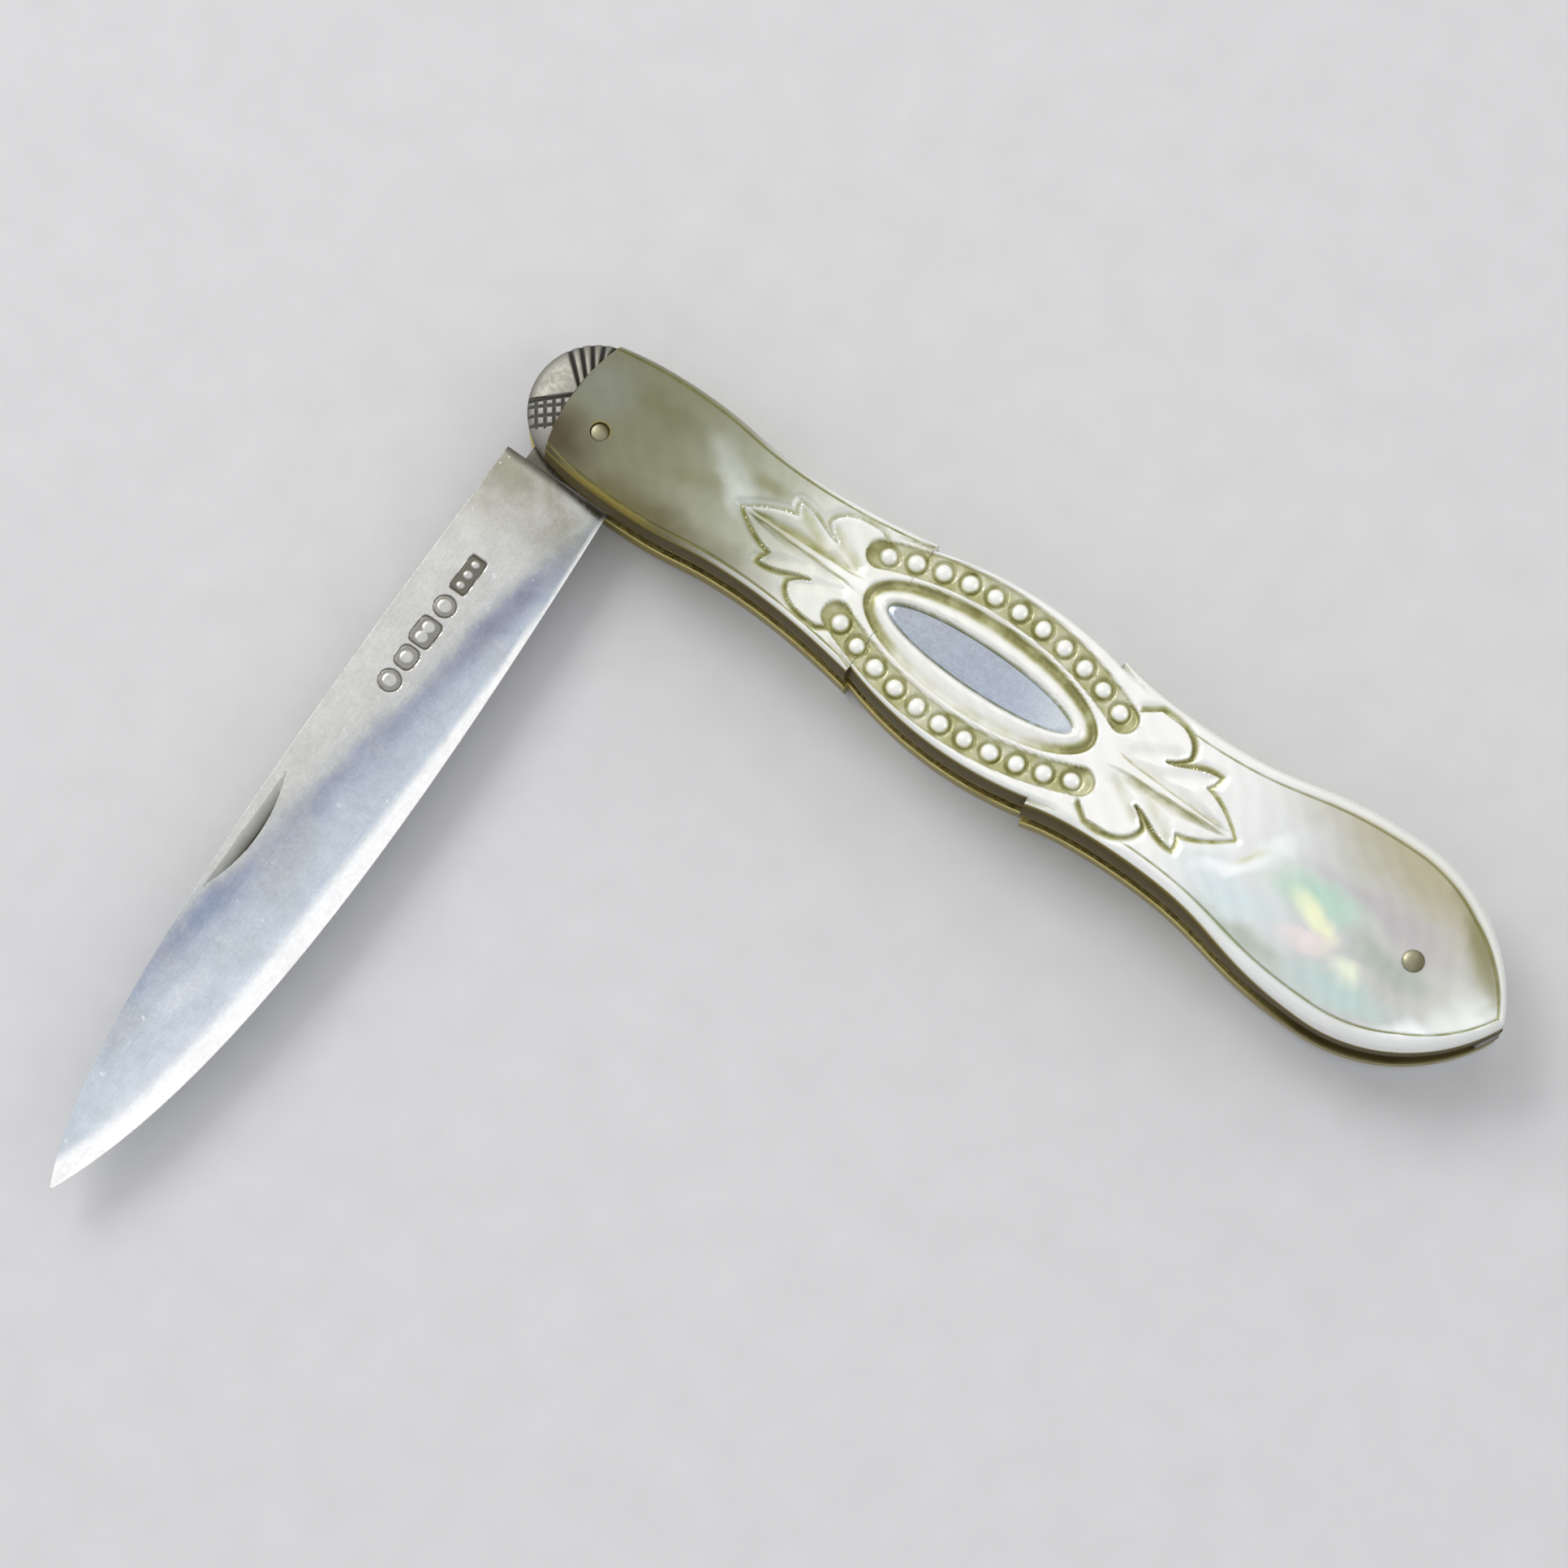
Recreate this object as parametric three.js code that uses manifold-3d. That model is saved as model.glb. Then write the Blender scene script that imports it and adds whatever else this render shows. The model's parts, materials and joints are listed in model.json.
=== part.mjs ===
// A folding fruit knife with carved mother-of-pearl scales, standing half open.
// Millimetres. +X runs along the handle from the pivot to the tail, +Y to the back, where the spring is,
// and +Z out of the front scale. The origin is on the rear face, on the centre line, level with the pivot.

import * as THREE from "three";
import { mergeVertices } from "three/addons/utils/BufferGeometryUtils.js";
import Module from "manifold-3d";

const wasm = await Module();
wasm.setup();

// Layers of the handle, from the rear face to the front face
const SCALE_THICK = 2.3;
const LINER_THICK = 0.5;
const SLOT_WIDE = 1.8;
const BLADE_SIDE_GAP = 0.1;

// Bolster end of the handle
const PIVOT_OFF_AXIS = 1.5;
const BOLSTER_RADIUS = 5.2;
const BOLSTER_BACK = 1.4;
const BOLSTER_BELOW_FACE = 0.3;
const JOINT_AHEAD = 2.5;
const JOINT_BULGE = 0.9;
const JOINT_GAP = 0.04;

// Handle outline: the run along X from each station to the next, and the half width there
const SHOULDER_RUN = 6.6;
const SHOULDER_HALF = 5.75;
const NECK_RUN = 10.9;
const NECK_HALF = 5.0;
const FLARE_RUN = 10.5;
const FLARE_HALF = 6.1;
const PANEL_RUN = 16.4;
const PANEL_HALF = 7.1;
const PANEL_PEAK = 9.4;
const PANEL_ARC = 31;
const SHELF_HALF = 7.0;
const WAIST_RUN = 7.7;
const WAIST_HALF = 6.15;
const BULB_RUN = 17.9;
const BULB_HALF = 8.15;
const TIP_RUN = 12.4;
const TIP_SHOULDER = 6.0;
const TIP_RAKE = 1.8;
const TIP_SPREAD = 4.2;

// Share of a run at which its curve bends most
const WING_BEND = 0.43;
const SHELF_BEND = 0.36;

// Rounded rim of the scales, and the line cut along its inner edge
const RIM_WIDE = 0.95;
const RIM_DROP = 1.5;
const LINE_WIDE = 0.24;
const LINE_DEEP = 0.14;

// Carving, centred on the panel
const CARVING_SHIFT = -0.3;
const BEAD_COUNT = 11;
const BEAD_PITCH = 2.13;
const BEAD_RADIUS = 0.7;
const BEAD_INSET = 1.9;
const BEAD_ARC = 27;
const BEAD_SINK = 0.05;
const CHANNEL_MARGIN = 0.24;
const CHANNEL_DEEP = 0.65;
const BEZEL_LAND = 0.7;
const BEZEL_LONG = 10.05;
const BEZEL_CUT_WIDE = 0.36;
const BEZEL_CUT_DEEP = 0.34;
const BEZEL_CUT_FLOOR = 0.06;
const LEAF_START = 12.4;
const LEAF_HALF = 4.2;
const LOBE_RUN = 3.0;
const NOTCH_HALF = 2.3;
const OUTER_NOTCH_HALF = 1.6;
const LOBE_LEAVING = new THREE.Vector2(1.4, 1.2);
const LOBE_RETURNING = new THREE.Vector2(0.65, 1.85);
const LEAF_TIP_RUN = 3.6;
const LEAF_TIP_BEND = new THREE.Vector2(-1.8, 1.25);
const LEAF_CUT_WIDE = 0.75;
const LEAF_CUT_WALL = 0.05;
const LEAF_CUT_DEEP = 0.38;
const VEIN_HALF = 0.4;
const VEIN_CUT_WIDE = 0.2;
const VEIN_CUT_DEEP = 0.22;
const CUT_END = 0.25;

// Silver plate in the oval dish
const PLATE_LONG = 8.2;
const PLATE_HALF = 1.68;
const PLATE_THICK = 0.4;
const PLATE_SINK = 0.5;
const PLATE_FIT = 0.08;
const DISH_RUN = 1.25;
const PEG_RADIUS = 0.45;
const PEG_SPREAD = 5.0;
const PEG_COVER = 0.6;

// Blade, with the pivot at its own origin
const HALF_OPEN_DEG = -90;
const CLOSED_DEG = -3;
const OPEN_DEG = -180;
const TANG_FLAT = 3.9;
const TANG_LAP = 0.05;
const CAM_LIFT = 0.25;
const SHOULDER_CLEAR = 0.05;
const SPINE_STEP = 1.65;
const SPINE_STRAIGHT = 25.8;
const SPINE_TIP_RUN = 9;
const SPINE_TIP_DROP = 5.25;
const EDGE_STEP = 0.4;
const EDGE_ROOT_RUN = 21.8;
const EDGE_ROOT_RISE = 1.7;
const EDGE_TIP_RUN = 15;
const EDGE_TIP_RISE = 6.65;
const POINT_RISE = 0.25;
const POINT_CLEAR = 2.8;
const GRIND_THICK = 0.6;
const EDGE_THICK = 0.22;
const GRIND_WIDE = 1.4;
const GRIND_SHARE = 0.35;
const TAPER_POWER = 3;
const NICK_AHEAD = 39.4;
const NICK_BELOW_SPINE = 1.05;
const NICK_LONG = 10.5;
const NICK_ARCH = 1.05;
const NICK_DEEP = 0.34;

// Backspring and pins
const CAM_GAP = 0.05;
const SPRING_END_GAP = 0.3;
const SPRING_SWEEP = 26;
const SPRING_TAIL_RUN = 1.8;
const SPRING_TAIL_WALL = 1.05;
const PIN_RADIUS = 0.7;
const PIN_FIT = 0.05;
const PIN_RECESS = 0.12;
const END_PIN_BACK = 8.1;
const RIVET_LIP = 0.1;
const RIVET_RISE = 0.3;

// How finely curves are divided, and how close two points are one
const OUTLINE_STEPS = 7;
const RIM_STEPS = 3;
const ROUND_STEPS = 20;
const OVAL_STEPS = 36;
const BEAD_STEPS = 8;
const CUT_STEPS = 6;
const BLADE_STEPS = 36;
const NICK_STEPS = 200;
const MERGE_MM = 1e-4;

// Stations and levels that follow from the sizes above
const REAR_LINER_Z = SCALE_THICK;
const SLOT_Z = REAR_LINER_Z + LINER_THICK;
const FRONT_LINER_Z = SLOT_Z + SLOT_WIDE;
const FRONT_SCALE_Z = FRONT_LINER_Z + LINER_THICK;
const FRONT_FACE_Z = FRONT_SCALE_Z + SCALE_THICK;
const PIVOT_Y = -PIVOT_OFF_AXIS;
const BOLSTER_WALL = SCALE_THICK - RIM_DROP;
const BOLSTER_CROWN = SCALE_THICK - BOLSTER_BELOW_FACE;
const JOINT_X = -JOINT_AHEAD;
const JOINT_HALF = Math.sqrt(BOLSTER_RADIUS ** 2 - (JOINT_AHEAD - BOLSTER_BACK) ** 2);
const SHOULDER_X = JOINT_X + SHOULDER_RUN;
const NECK_X = SHOULDER_X + NECK_RUN;
const PANEL_START = NECK_X + FLARE_RUN;
const PANEL_END = PANEL_START + PANEL_RUN;
const WAIST_X = PANEL_END + WAIST_RUN;
const BULB_X = WAIST_X + BULB_RUN;
const TIP_X = BULB_X + TIP_RUN;
const CARVING_X = PANEL_START + PANEL_RUN / 2 + CARVING_SHIFT;
const END_PIN_X = TIP_X - END_PIN_BACK;
const CAM_RADIUS = TANG_FLAT + CAM_LIFT;
const SHOULDER_AHEAD = CAM_RADIUS + SHOULDER_CLEAR;
const SPRING_INNER_Y = PIVOT_Y + CAM_RADIUS + CAM_GAP;
const CENTRE_PIN_X = PANEL_START + PANEL_PEAK;
const CENTRE_PIN_Y = (SPRING_INNER_Y + PANEL_HALF) / 2;
const BLADE_THICK = SLOT_WIDE - 2 * BLADE_SIDE_GAP;
const BLADE_LENGTH = END_PIN_X - POINT_CLEAR;
const HOLE_RADIUS = PIN_RADIUS + PIN_FIT;
const BEAD_ROW_HALF = PANEL_HALF - BEAD_INSET;
const CHANNEL_HALF = BEAD_RADIUS + CHANNEL_MARGIN;
const BEZEL_HALF = BEAD_ROW_HALF - CHANNEL_HALF - BEZEL_LAND;

// How far cutters stand out past the faces that they cut, and a length that reaches clear of the whole handle
const LIFT = 0.4;
const CLEAR = 4 * BULB_HALF;

// Materials
function finish(color, roughness, metalness) {
  return new THREE.MeshStandardMaterial({ color, roughness, metalness });
}
const silver = finish(0xd9d8d6, 0.24, 1);
const pearl = finish(0xe6e3d6, 0.22, 0);
const gilt = finish(0xb3924f, 0.35, 1);
const steel = finish(0x8c8d90, 0.35, 1);

// A closed geometry as a solid that can be joined and cut. Faces that shrank to a line are left out.
function solid(geometry) {
  const bare = new THREE.BufferGeometry();
  const loose = geometry.index ? geometry.toNonIndexed() : geometry;
  bare.setAttribute("position", loose.getAttribute("position").clone());
  const merged = mergeVertices(bare, MERGE_MM);
  const corners = merged.index.array;
  const kept = [];
  for (let i = 0; i < corners.length; i += 3) {
    const [a, b, c] = corners.slice(i, i + 3);
    if (a !== b && b !== c && c !== a) kept.push(a, b, c);
  }
  const vertProperties = merged.getAttribute("position").array;
  return new wasm.Manifold(new wasm.Mesh({ numProp: 3, vertProperties, triVerts: new Uint32Array(kept) }));
}

// The solid's skin as a geometry for a mesh.
function skin(body) {
  const { vertProperties, triVerts } = body.getMesh();
  const geometry = new THREE.BufferGeometry();
  geometry.setAttribute("position", new THREE.BufferAttribute(vertProperties, 3));
  geometry.setIndex(new THREE.BufferAttribute(triVerts, 1));
  geometry.computeVertexNormals();
  return geometry;
}

function join(bodies) {
  return bodies.reduce((whole, body) => whole.add(body));
}

// A geometry turned over in X, Y or both, with its faces still pointing out.
function mirrored(geometry, signX, signY) {
  const copy = geometry.index ? geometry.toNonIndexed() : geometry.clone();
  copy.scale(signX, signY, 1);
  if (signX * signY < 0) {
    const position = copy.getAttribute("position");
    for (let i = 0; i < position.count; i += 3) {
      const b = new THREE.Vector3().fromBufferAttribute(position, i + 1);
      const c = new THREE.Vector3().fromBufferAttribute(position, i + 2);
      position.setXYZ(i + 1, c.x, c.y, c.z);
      position.setXYZ(i + 2, b.x, b.y, b.z);
    }
  }
  return copy;
}

// A closed skin over rings of equal point counts, with a lid on the first and the last.
function loft(rings, lidTriangles) {
  const count = rings[0].length;
  const index = [];
  rings.slice(1).forEach((_, r) => {
    for (let i = 0; i < count; i++) {
      const next = (i + 1) % count;
      const [a, b, c, d] = [r * count + i, r * count + next, (r + 1) * count + next, (r + 1) * count + i];
      index.push(a, b, c, a, c, d);
    }
  });
  const last = (rings.length - 1) * count;
  lidTriangles(rings[0]).forEach(([a, b, c]) => index.push(c, b, a));
  lidTriangles(rings[rings.length - 1]).forEach(([a, b, c]) => index.push(last + a, last + b, last + c));
  const geometry = new THREE.BufferGeometry().setFromPoints(rings.flat());
  geometry.setIndex(index);
  return geometry;
}

function planLid(ring) {
  return THREE.ShapeUtils.triangulateShape(ring.map((p) => new THREE.Vector2(p.x, p.y)), []);
}

function fanLid(ring) {
  return ring.slice(2).map((_, i) => [0, i + 1, i + 2]);
}

// A flat plate of the given outline between two levels.
function plate(shape, bottom, height) {
  const options = { depth: height, bevelEnabled: false, curveSegments: OUTLINE_STEPS };
  return new THREE.ExtrudeGeometry(shape, options).translate(0, 0, bottom);
}

function box(x0, x1, y0, y1, z0, z1) {
  const geometry = new THREE.BoxGeometry(x1 - x0, y1 - y0, z1 - z0);
  return geometry.translate((x0 + x1) / 2, (y0 + y1) / 2, (z0 + z1) / 2);
}

function post(x, y, radius, bottom, top) {
  const geometry = new THREE.CylinderGeometry(radius, radius, top - bottom, ROUND_STEPS);
  return geometry.rotateX(Math.PI / 2).translate(x, y, (bottom + top) / 2);
}

// The half outline of the handle, one stretch at a time, from the pivot end to the tail
function addFrontWing(path) {
  path.quadraticCurveTo(JOINT_X + WING_BEND * SHOULDER_RUN, SHOULDER_HALF, SHOULDER_X, SHOULDER_HALF);
  const middle = (SHOULDER_X + NECK_X) / 2;
  path.bezierCurveTo(middle, SHOULDER_HALF, middle, NECK_HALF, NECK_X, NECK_HALF);
  path.quadraticCurveTo(NECK_X + WING_BEND * FLARE_RUN, NECK_HALF, PANEL_START, FLARE_HALF);
}

function addPanel(path) {
  const peak = PANEL_START + PANEL_PEAK;
  const from = Math.PI / 2 + Math.asin(PANEL_PEAK / PANEL_ARC);
  const to = Math.PI / 2 - Math.asin((PANEL_RUN - PANEL_PEAK) / PANEL_ARC);
  path.absarc(peak, PANEL_HALF - PANEL_ARC, PANEL_ARC, from, to, true);
}

function addTailWing(path) {
  path.quadraticCurveTo(PANEL_END + SHELF_BEND * WAIST_RUN, WAIST_HALF, WAIST_X, WAIST_HALF);
  const middle = (WAIST_X + BULB_X) / 2;
  path.bezierCurveTo(middle, WAIST_HALF, middle, BULB_HALF, BULB_X, BULB_HALF);
  path.bezierCurveTo(BULB_X + TIP_SHOULDER, BULB_HALF, TIP_X - TIP_RAKE, TIP_SPREAD, TIP_X, 0);
}

// The whole outline as a shape: bolster circle, front wing, stepped panel and tail wing, on both sides.
function handleShape() {
  const half = new THREE.Path();
  const jointAngle = Math.PI - Math.acos((JOINT_AHEAD - BOLSTER_BACK) / BOLSTER_RADIUS);
  half.absarc(-BOLSTER_BACK, 0, BOLSTER_RADIUS, Math.PI, jointAngle, true);
  addFrontWing(half);
  addPanel(half);
  half.lineTo(PANEL_END, SHELF_HALF);
  addTailWing(half);
  const upper = half.getPoints(OUTLINE_STEPS);
  const lower = upper.slice(1, -1).map((p) => new THREE.Vector2(p.x, -p.y));
  return new THREE.Shape([...upper, ...lower.reverse()]);
}

// The area ahead of the joint between bolster and pearl, which is a shallow arc across the handle.
function bolsterRegion(gap) {
  const arc = (JOINT_HALF ** 2 + JOINT_BULGE ** 2) / (2 * JOINT_BULGE);
  const centre = JOINT_X - JOINT_BULGE + arc;
  const spread = Math.asin((JOINT_HALF + LIFT) / arc);
  const shape = new THREE.Shape();
  shape.absarc(centre, 0, arc + gap, Math.PI - spread, Math.PI + spread, false);
  shape.lineTo(-CLEAR, -CLEAR);
  shape.lineTo(-CLEAR, CLEAR);
  return shape;
}

// The half outline moved inwards, square to itself, and gathered where it would cross the centre line.
function insetHalf(half, inset) {
  const moved = half.map((p, i) => {
    const before = half[Math.max(i - 1, 0)];
    const after = half[Math.min(i + 1, half.length - 1)];
    const along = after.clone().sub(before).normalize();
    return new THREE.Vector2(p.x + inset * along.y, p.y - inset * along.x);
  });
  const crossed = moved.findIndex((p) => p.y < 0);
  if (crossed < 1) return moved;
  const [above, below] = [moved[crossed - 1], moved[crossed]];
  const meeting = above.clone().lerp(below, above.y / (above.y - below.y));
  return moved.map((p, i) => (i < crossed ? p : new THREE.Vector2(meeting.x, 0)));
}

function ringAt(half, height) {
  const lower = half.map((p) => new THREE.Vector3(p.x, -p.y, height));
  const upper = half.map((p) => new THREE.Vector3(p.x, p.y, height)).reverse();
  return [...lower, ...upper];
}

// One stretch of a scale: straight wall, rounded rim, and a line cut along the rim where asked for.
function scaleStretch(half, lined) {
  const rings = [ringAt(half, 0)];
  for (let i = 0; i <= RIM_STEPS; i++) {
    const turn = ((Math.PI / 2) * i) / RIM_STEPS;
    const height = SCALE_THICK - RIM_DROP + RIM_DROP * Math.sin(turn);
    rings.push(ringAt(insetHalf(half, RIM_WIDE * (1 - Math.cos(turn))), height));
  }
  if (lined) {
    rings.push(ringAt(insetHalf(half, RIM_WIDE + LINE_WIDE / 2), SCALE_THICK - LINE_DEEP));
    rings.push(ringAt(insetHalf(half, RIM_WIDE + LINE_WIDE), SCALE_THICK));
  }
  return solid(loft(rings, planLid));
}

function stretchBetween(body, x0, x1) {
  return body.intersect(solid(box(x0, x1, -CLEAR, CLEAR, -LIFT, SCALE_THICK + LIFT)));
}

// The plain scale: front wing, panel and tail wing, each with its own rim, so that the steps are square.
function plainScale() {
  const front = new THREE.Path();
  front.moveTo(JOINT_X - JOINT_BULGE - LIFT, JOINT_HALF);
  front.lineTo(JOINT_X, JOINT_HALF);
  addFrontWing(front);
  const frontEnd = new THREE.Vector2(PANEL_START + LIFT, FLARE_HALF);
  const frontHalf = [...front.getPoints(OUTLINE_STEPS), frontEnd];

  const panel = new THREE.Path();
  addPanel(panel);

  const tail = new THREE.Path();
  tail.moveTo(PANEL_END, SHELF_HALF);
  addTailWing(tail);
  const tailStart = new THREE.Vector2(PANEL_END - LIFT, SHELF_HALF + LIFT / 2);
  const tailHalf = [tailStart, ...tail.getPoints(OUTLINE_STEPS)];

  const inner = NECK_HALF - RIM_WIDE - LINE_WIDE;
  const core = box(PANEL_START - RIM_WIDE, PANEL_END + RIM_WIDE, -inner, inner, 0, SCALE_THICK);
  const wing = stretchBetween(scaleStretch(frontHalf, true), -CLEAR, PANEL_START);
  return join([
    wing.subtract(solid(plate(bolsterRegion(0), -LIFT, SCALE_THICK + 2 * LIFT))),
    scaleStretch(panel.getPoints(OUTLINE_STEPS), false),
    stretchBetween(scaleStretch(tailHalf, true), PANEL_END, TIP_X + LIFT),
    solid(core),
  ]);
}

function ovalRing(halfLong, halfWide, height) {
  return Array.from({ length: OVAL_STEPS }, (_, i) => {
    const turn = (2 * Math.PI * i) / OVAL_STEPS;
    return new THREE.Vector3(halfLong * Math.cos(turn), halfWide * Math.sin(turn), height);
  });
}

// An oval cutter whose wall leans out by the given run over the given depth below the face.
function ovalCutter(halfLong, halfWide, run, depth) {
  const spread = (run * (depth + LIFT)) / depth;
  const low = ovalRing(halfLong, halfWide, SCALE_THICK - depth);
  const high = ovalRing(halfLong + spread, halfWide + spread, SCALE_THICK + LIFT);
  return solid(loft([low, high], planLid));
}

function bezelCut() {
  const outer = ovalCutter(BEZEL_LONG, BEZEL_HALF, BEZEL_CUT_WIDE, BEZEL_CUT_DEEP);
  const innerLong = BEZEL_LONG - BEZEL_CUT_FLOOR;
  const innerHalf = BEZEL_HALF - BEZEL_CUT_FLOOR;
  return outer.subtract(ovalCutter(innerLong, innerHalf, -BEZEL_CUT_WIDE, BEZEL_CUT_DEEP));
}

// A stroke of the graver: a cut that swells from its ends to its middle, steep on the leaf's side.
function stroke(curve, outWide, inWide, deep) {
  const rings = [];
  for (let i = 0; i <= CUT_STEPS; i++) {
    const t = i / CUT_STEPS;
    const at = curve.getPoint(t);
    const along = curve.getTangent(t);
    const out = new THREE.Vector2(-along.y, along.x);
    const swell = CUT_END + (1 - CUT_END) * Math.sin(Math.PI * t);
    const spread = (swell * deep + LIFT) / deep;
    const far = at.clone().addScaledVector(out, outWide * spread);
    const near = at.clone().addScaledVector(out, -inWide * spread);
    rings.push([
      new THREE.Vector3(far.x, far.y, SCALE_THICK + LIFT),
      new THREE.Vector3(near.x, near.y, SCALE_THICK + LIFT),
      new THREE.Vector3(at.x, at.y, SCALE_THICK - swell * deep),
    ]);
  }
  return loft(rings, fanLid);
}

// One quarter of the leaf carving: two lobes, the point of the leaf and the line beside the vein.
function leafStrokes() {
  const start = new THREE.Vector2(LEAF_START, LEAF_HALF);
  const notch = new THREE.Vector2(start.x + LOBE_RUN, NOTCH_HALF);
  const outerNotch = new THREE.Vector2(notch.x + LOBE_RUN, OUTER_NOTCH_HALF);
  const tip = new THREE.Vector2(outerNotch.x + LEAF_TIP_RUN, 0);
  const lobe = (from, to) =>
    new THREE.CubicBezierCurve(from, from.clone().add(LOBE_LEAVING), to.clone().add(LOBE_RETURNING), to);
  const outline = [
    lobe(start, notch),
    lobe(notch, outerNotch),
    new THREE.QuadraticBezierCurve(outerNotch, tip.clone().add(LEAF_TIP_BEND), tip),
  ];
  const vein = new THREE.LineCurve(
    new THREE.Vector2(BEZEL_LONG + BEZEL_CUT_WIDE, VEIN_HALF),
    new THREE.Vector2(tip.x, VEIN_CUT_WIDE),
  );
  return [
    ...outline.map((curve) => stroke(curve, LEAF_CUT_WIDE, LEAF_CUT_WALL, LEAF_CUT_DEEP)),
    stroke(vein, VEIN_CUT_WIDE, VEIN_CUT_WIDE, VEIN_CUT_DEEP),
  ];
}

// The sunk band that a bead row stands in, on an arc with round ends.
function channelCutter() {
  const centre = BEAD_ROW_HALF - BEAD_ARC;
  const sweep = (BEAD_PITCH * (BEAD_COUNT - 1)) / 2 / BEAD_ARC;
  const [left, right] = [Math.PI / 2 + sweep, Math.PI / 2 - sweep];
  const endX = BEAD_ARC * Math.sin(sweep);
  const endY = centre + BEAD_ARC * Math.cos(sweep);
  const shape = new THREE.Shape();
  shape.absarc(0, centre, BEAD_ARC + CHANNEL_HALF, left, right, true);
  shape.absarc(endX, endY, CHANNEL_HALF, right, right - Math.PI, true);
  shape.absarc(0, centre, BEAD_ARC - CHANNEL_HALF, right, left, false);
  shape.absarc(-endX, endY, CHANNEL_HALF, left + Math.PI, left, true);
  return plate(shape, SCALE_THICK - CHANNEL_DEEP, CHANNEL_DEEP + LIFT);
}

function bead(number) {
  const turn = ((number - (BEAD_COUNT - 1) / 2) * BEAD_PITCH) / BEAD_ARC;
  const x = BEAD_ARC * Math.sin(turn);
  const y = BEAD_ROW_HALF - BEAD_ARC * (1 - Math.cos(turn));
  const ball = new THREE.SphereGeometry(BEAD_RADIUS, BEAD_STEPS, BEAD_STEPS - 2);
  return ball.rotateX(Math.PI / 2).translate(x, y, SCALE_THICK - BEAD_SINK - BEAD_RADIUS);
}

// A carved scale lying on its inner face. pivotY places the pivot hole. A plated scale has the plate's dish.
function carvedScale(pivotY, plated) {
  const cuts = [bezelCut()];
  const beads = [];
  for (const signY of [1, -1]) {
    cuts.push(solid(mirrored(channelCutter(), 1, signY)));
    for (const signX of [1, -1])
      leafStrokes().forEach((cut) => cuts.push(solid(mirrored(cut, signX, signY))));
    for (let i = 0; i < BEAD_COUNT; i++) beads.push(solid(mirrored(bead(i), 1, signY)));
  }
  const dishDeep = PLATE_SINK + PLATE_THICK;
  if (plated) {
    cuts.push(ovalCutter(PLATE_LONG + PLATE_FIT, PLATE_HALF + PLATE_FIT, DISH_RUN, dishDeep));
    for (const side of [1, -1]) {
      const hole = post(side * PEG_SPREAD, 0, PEG_RADIUS + PIN_FIT, PEG_COVER - PIN_FIT, SCALE_THICK);
      cuts.push(solid(hole));
    }
  }
  const blank = solid(skin(plainScale()).translate(-CARVING_X, 0, 0));
  const carved = blank.subtract(join(cuts)).add(join(beads));
  const pivotHole = post(-CARVING_X, pivotY, HOLE_RADIUS, -LIFT, SCALE_THICK + LIFT);
  const endHole = post(END_PIN_X - CARVING_X, 0, HOLE_RADIUS, -LIFT, SCALE_THICK + LIFT);
  const drilled = carved.subtract(join([solid(pivotHole), solid(endHole)]));
  return skin(drilled).translate(CARVING_X, 0, 0);
}

// The oval plate, standing on two pegs that go down into the pearl.
function escutcheon() {
  const outline = new THREE.Shape();
  outline.absellipse(0, 0, PLATE_LONG, PLATE_HALF, 0, 2 * Math.PI, false, 0);
  const floor = SCALE_THICK - PLATE_SINK - PLATE_THICK;
  const options = { depth: PLATE_THICK, bevelEnabled: false, curveSegments: OVAL_STEPS / 2 };
  const body = solid(new THREE.ExtrudeGeometry(outline, options).translate(0, 0, floor));
  const pegTop = floor + PLATE_THICK / 2;
  const pegs = [1, -1].map((side) => solid(post(side * PEG_SPREAD, 0, PEG_RADIUS, PEG_COVER, pegTop)));
  return skin(body.add(join(pegs))).translate(CARVING_X, 0, 0);
}

// A bolster lying on the liner: a shallow dome on a short wall, cut off along the joint with the pearl.
function bolster() {
  const profile = [new THREE.Vector2(0, 0), new THREE.Vector2(BOLSTER_RADIUS, 0)];
  for (let i = 0; i <= OUTLINE_STEPS; i++) {
    const turn = ((Math.PI / 2) * i) / OUTLINE_STEPS;
    const rise = (BOLSTER_CROWN - BOLSTER_WALL) * Math.sin(turn);
    const radius = i < OUTLINE_STEPS ? BOLSTER_RADIUS * Math.cos(turn) : 0;
    profile.push(new THREE.Vector2(radius, BOLSTER_WALL + rise));
  }
  const dome = new THREE.LatheGeometry(profile, 2 * ROUND_STEPS);
  dome.rotateX(Math.PI / 2).translate(-BOLSTER_BACK, 0, 0);
  const region = solid(plate(bolsterRegion(JOINT_GAP), -LIFT, BOLSTER_CROWN + 2 * LIFT));
  return skin(solid(dome).intersect(region));
}

function pinHoles(height) {
  const places = [
    [0, PIVOT_Y],
    [CENTRE_PIN_X, CENTRE_PIN_Y],
    [END_PIN_X, 0],
  ];
  return join(places.map(([x, y]) => solid(post(x, y, HOLE_RADIUS, -LIFT, height + LIFT))));
}

function liner() {
  return skin(solid(plate(handleShape(), 0, LINER_THICK)).subtract(pinHoles(LINER_THICK)));
}

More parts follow.
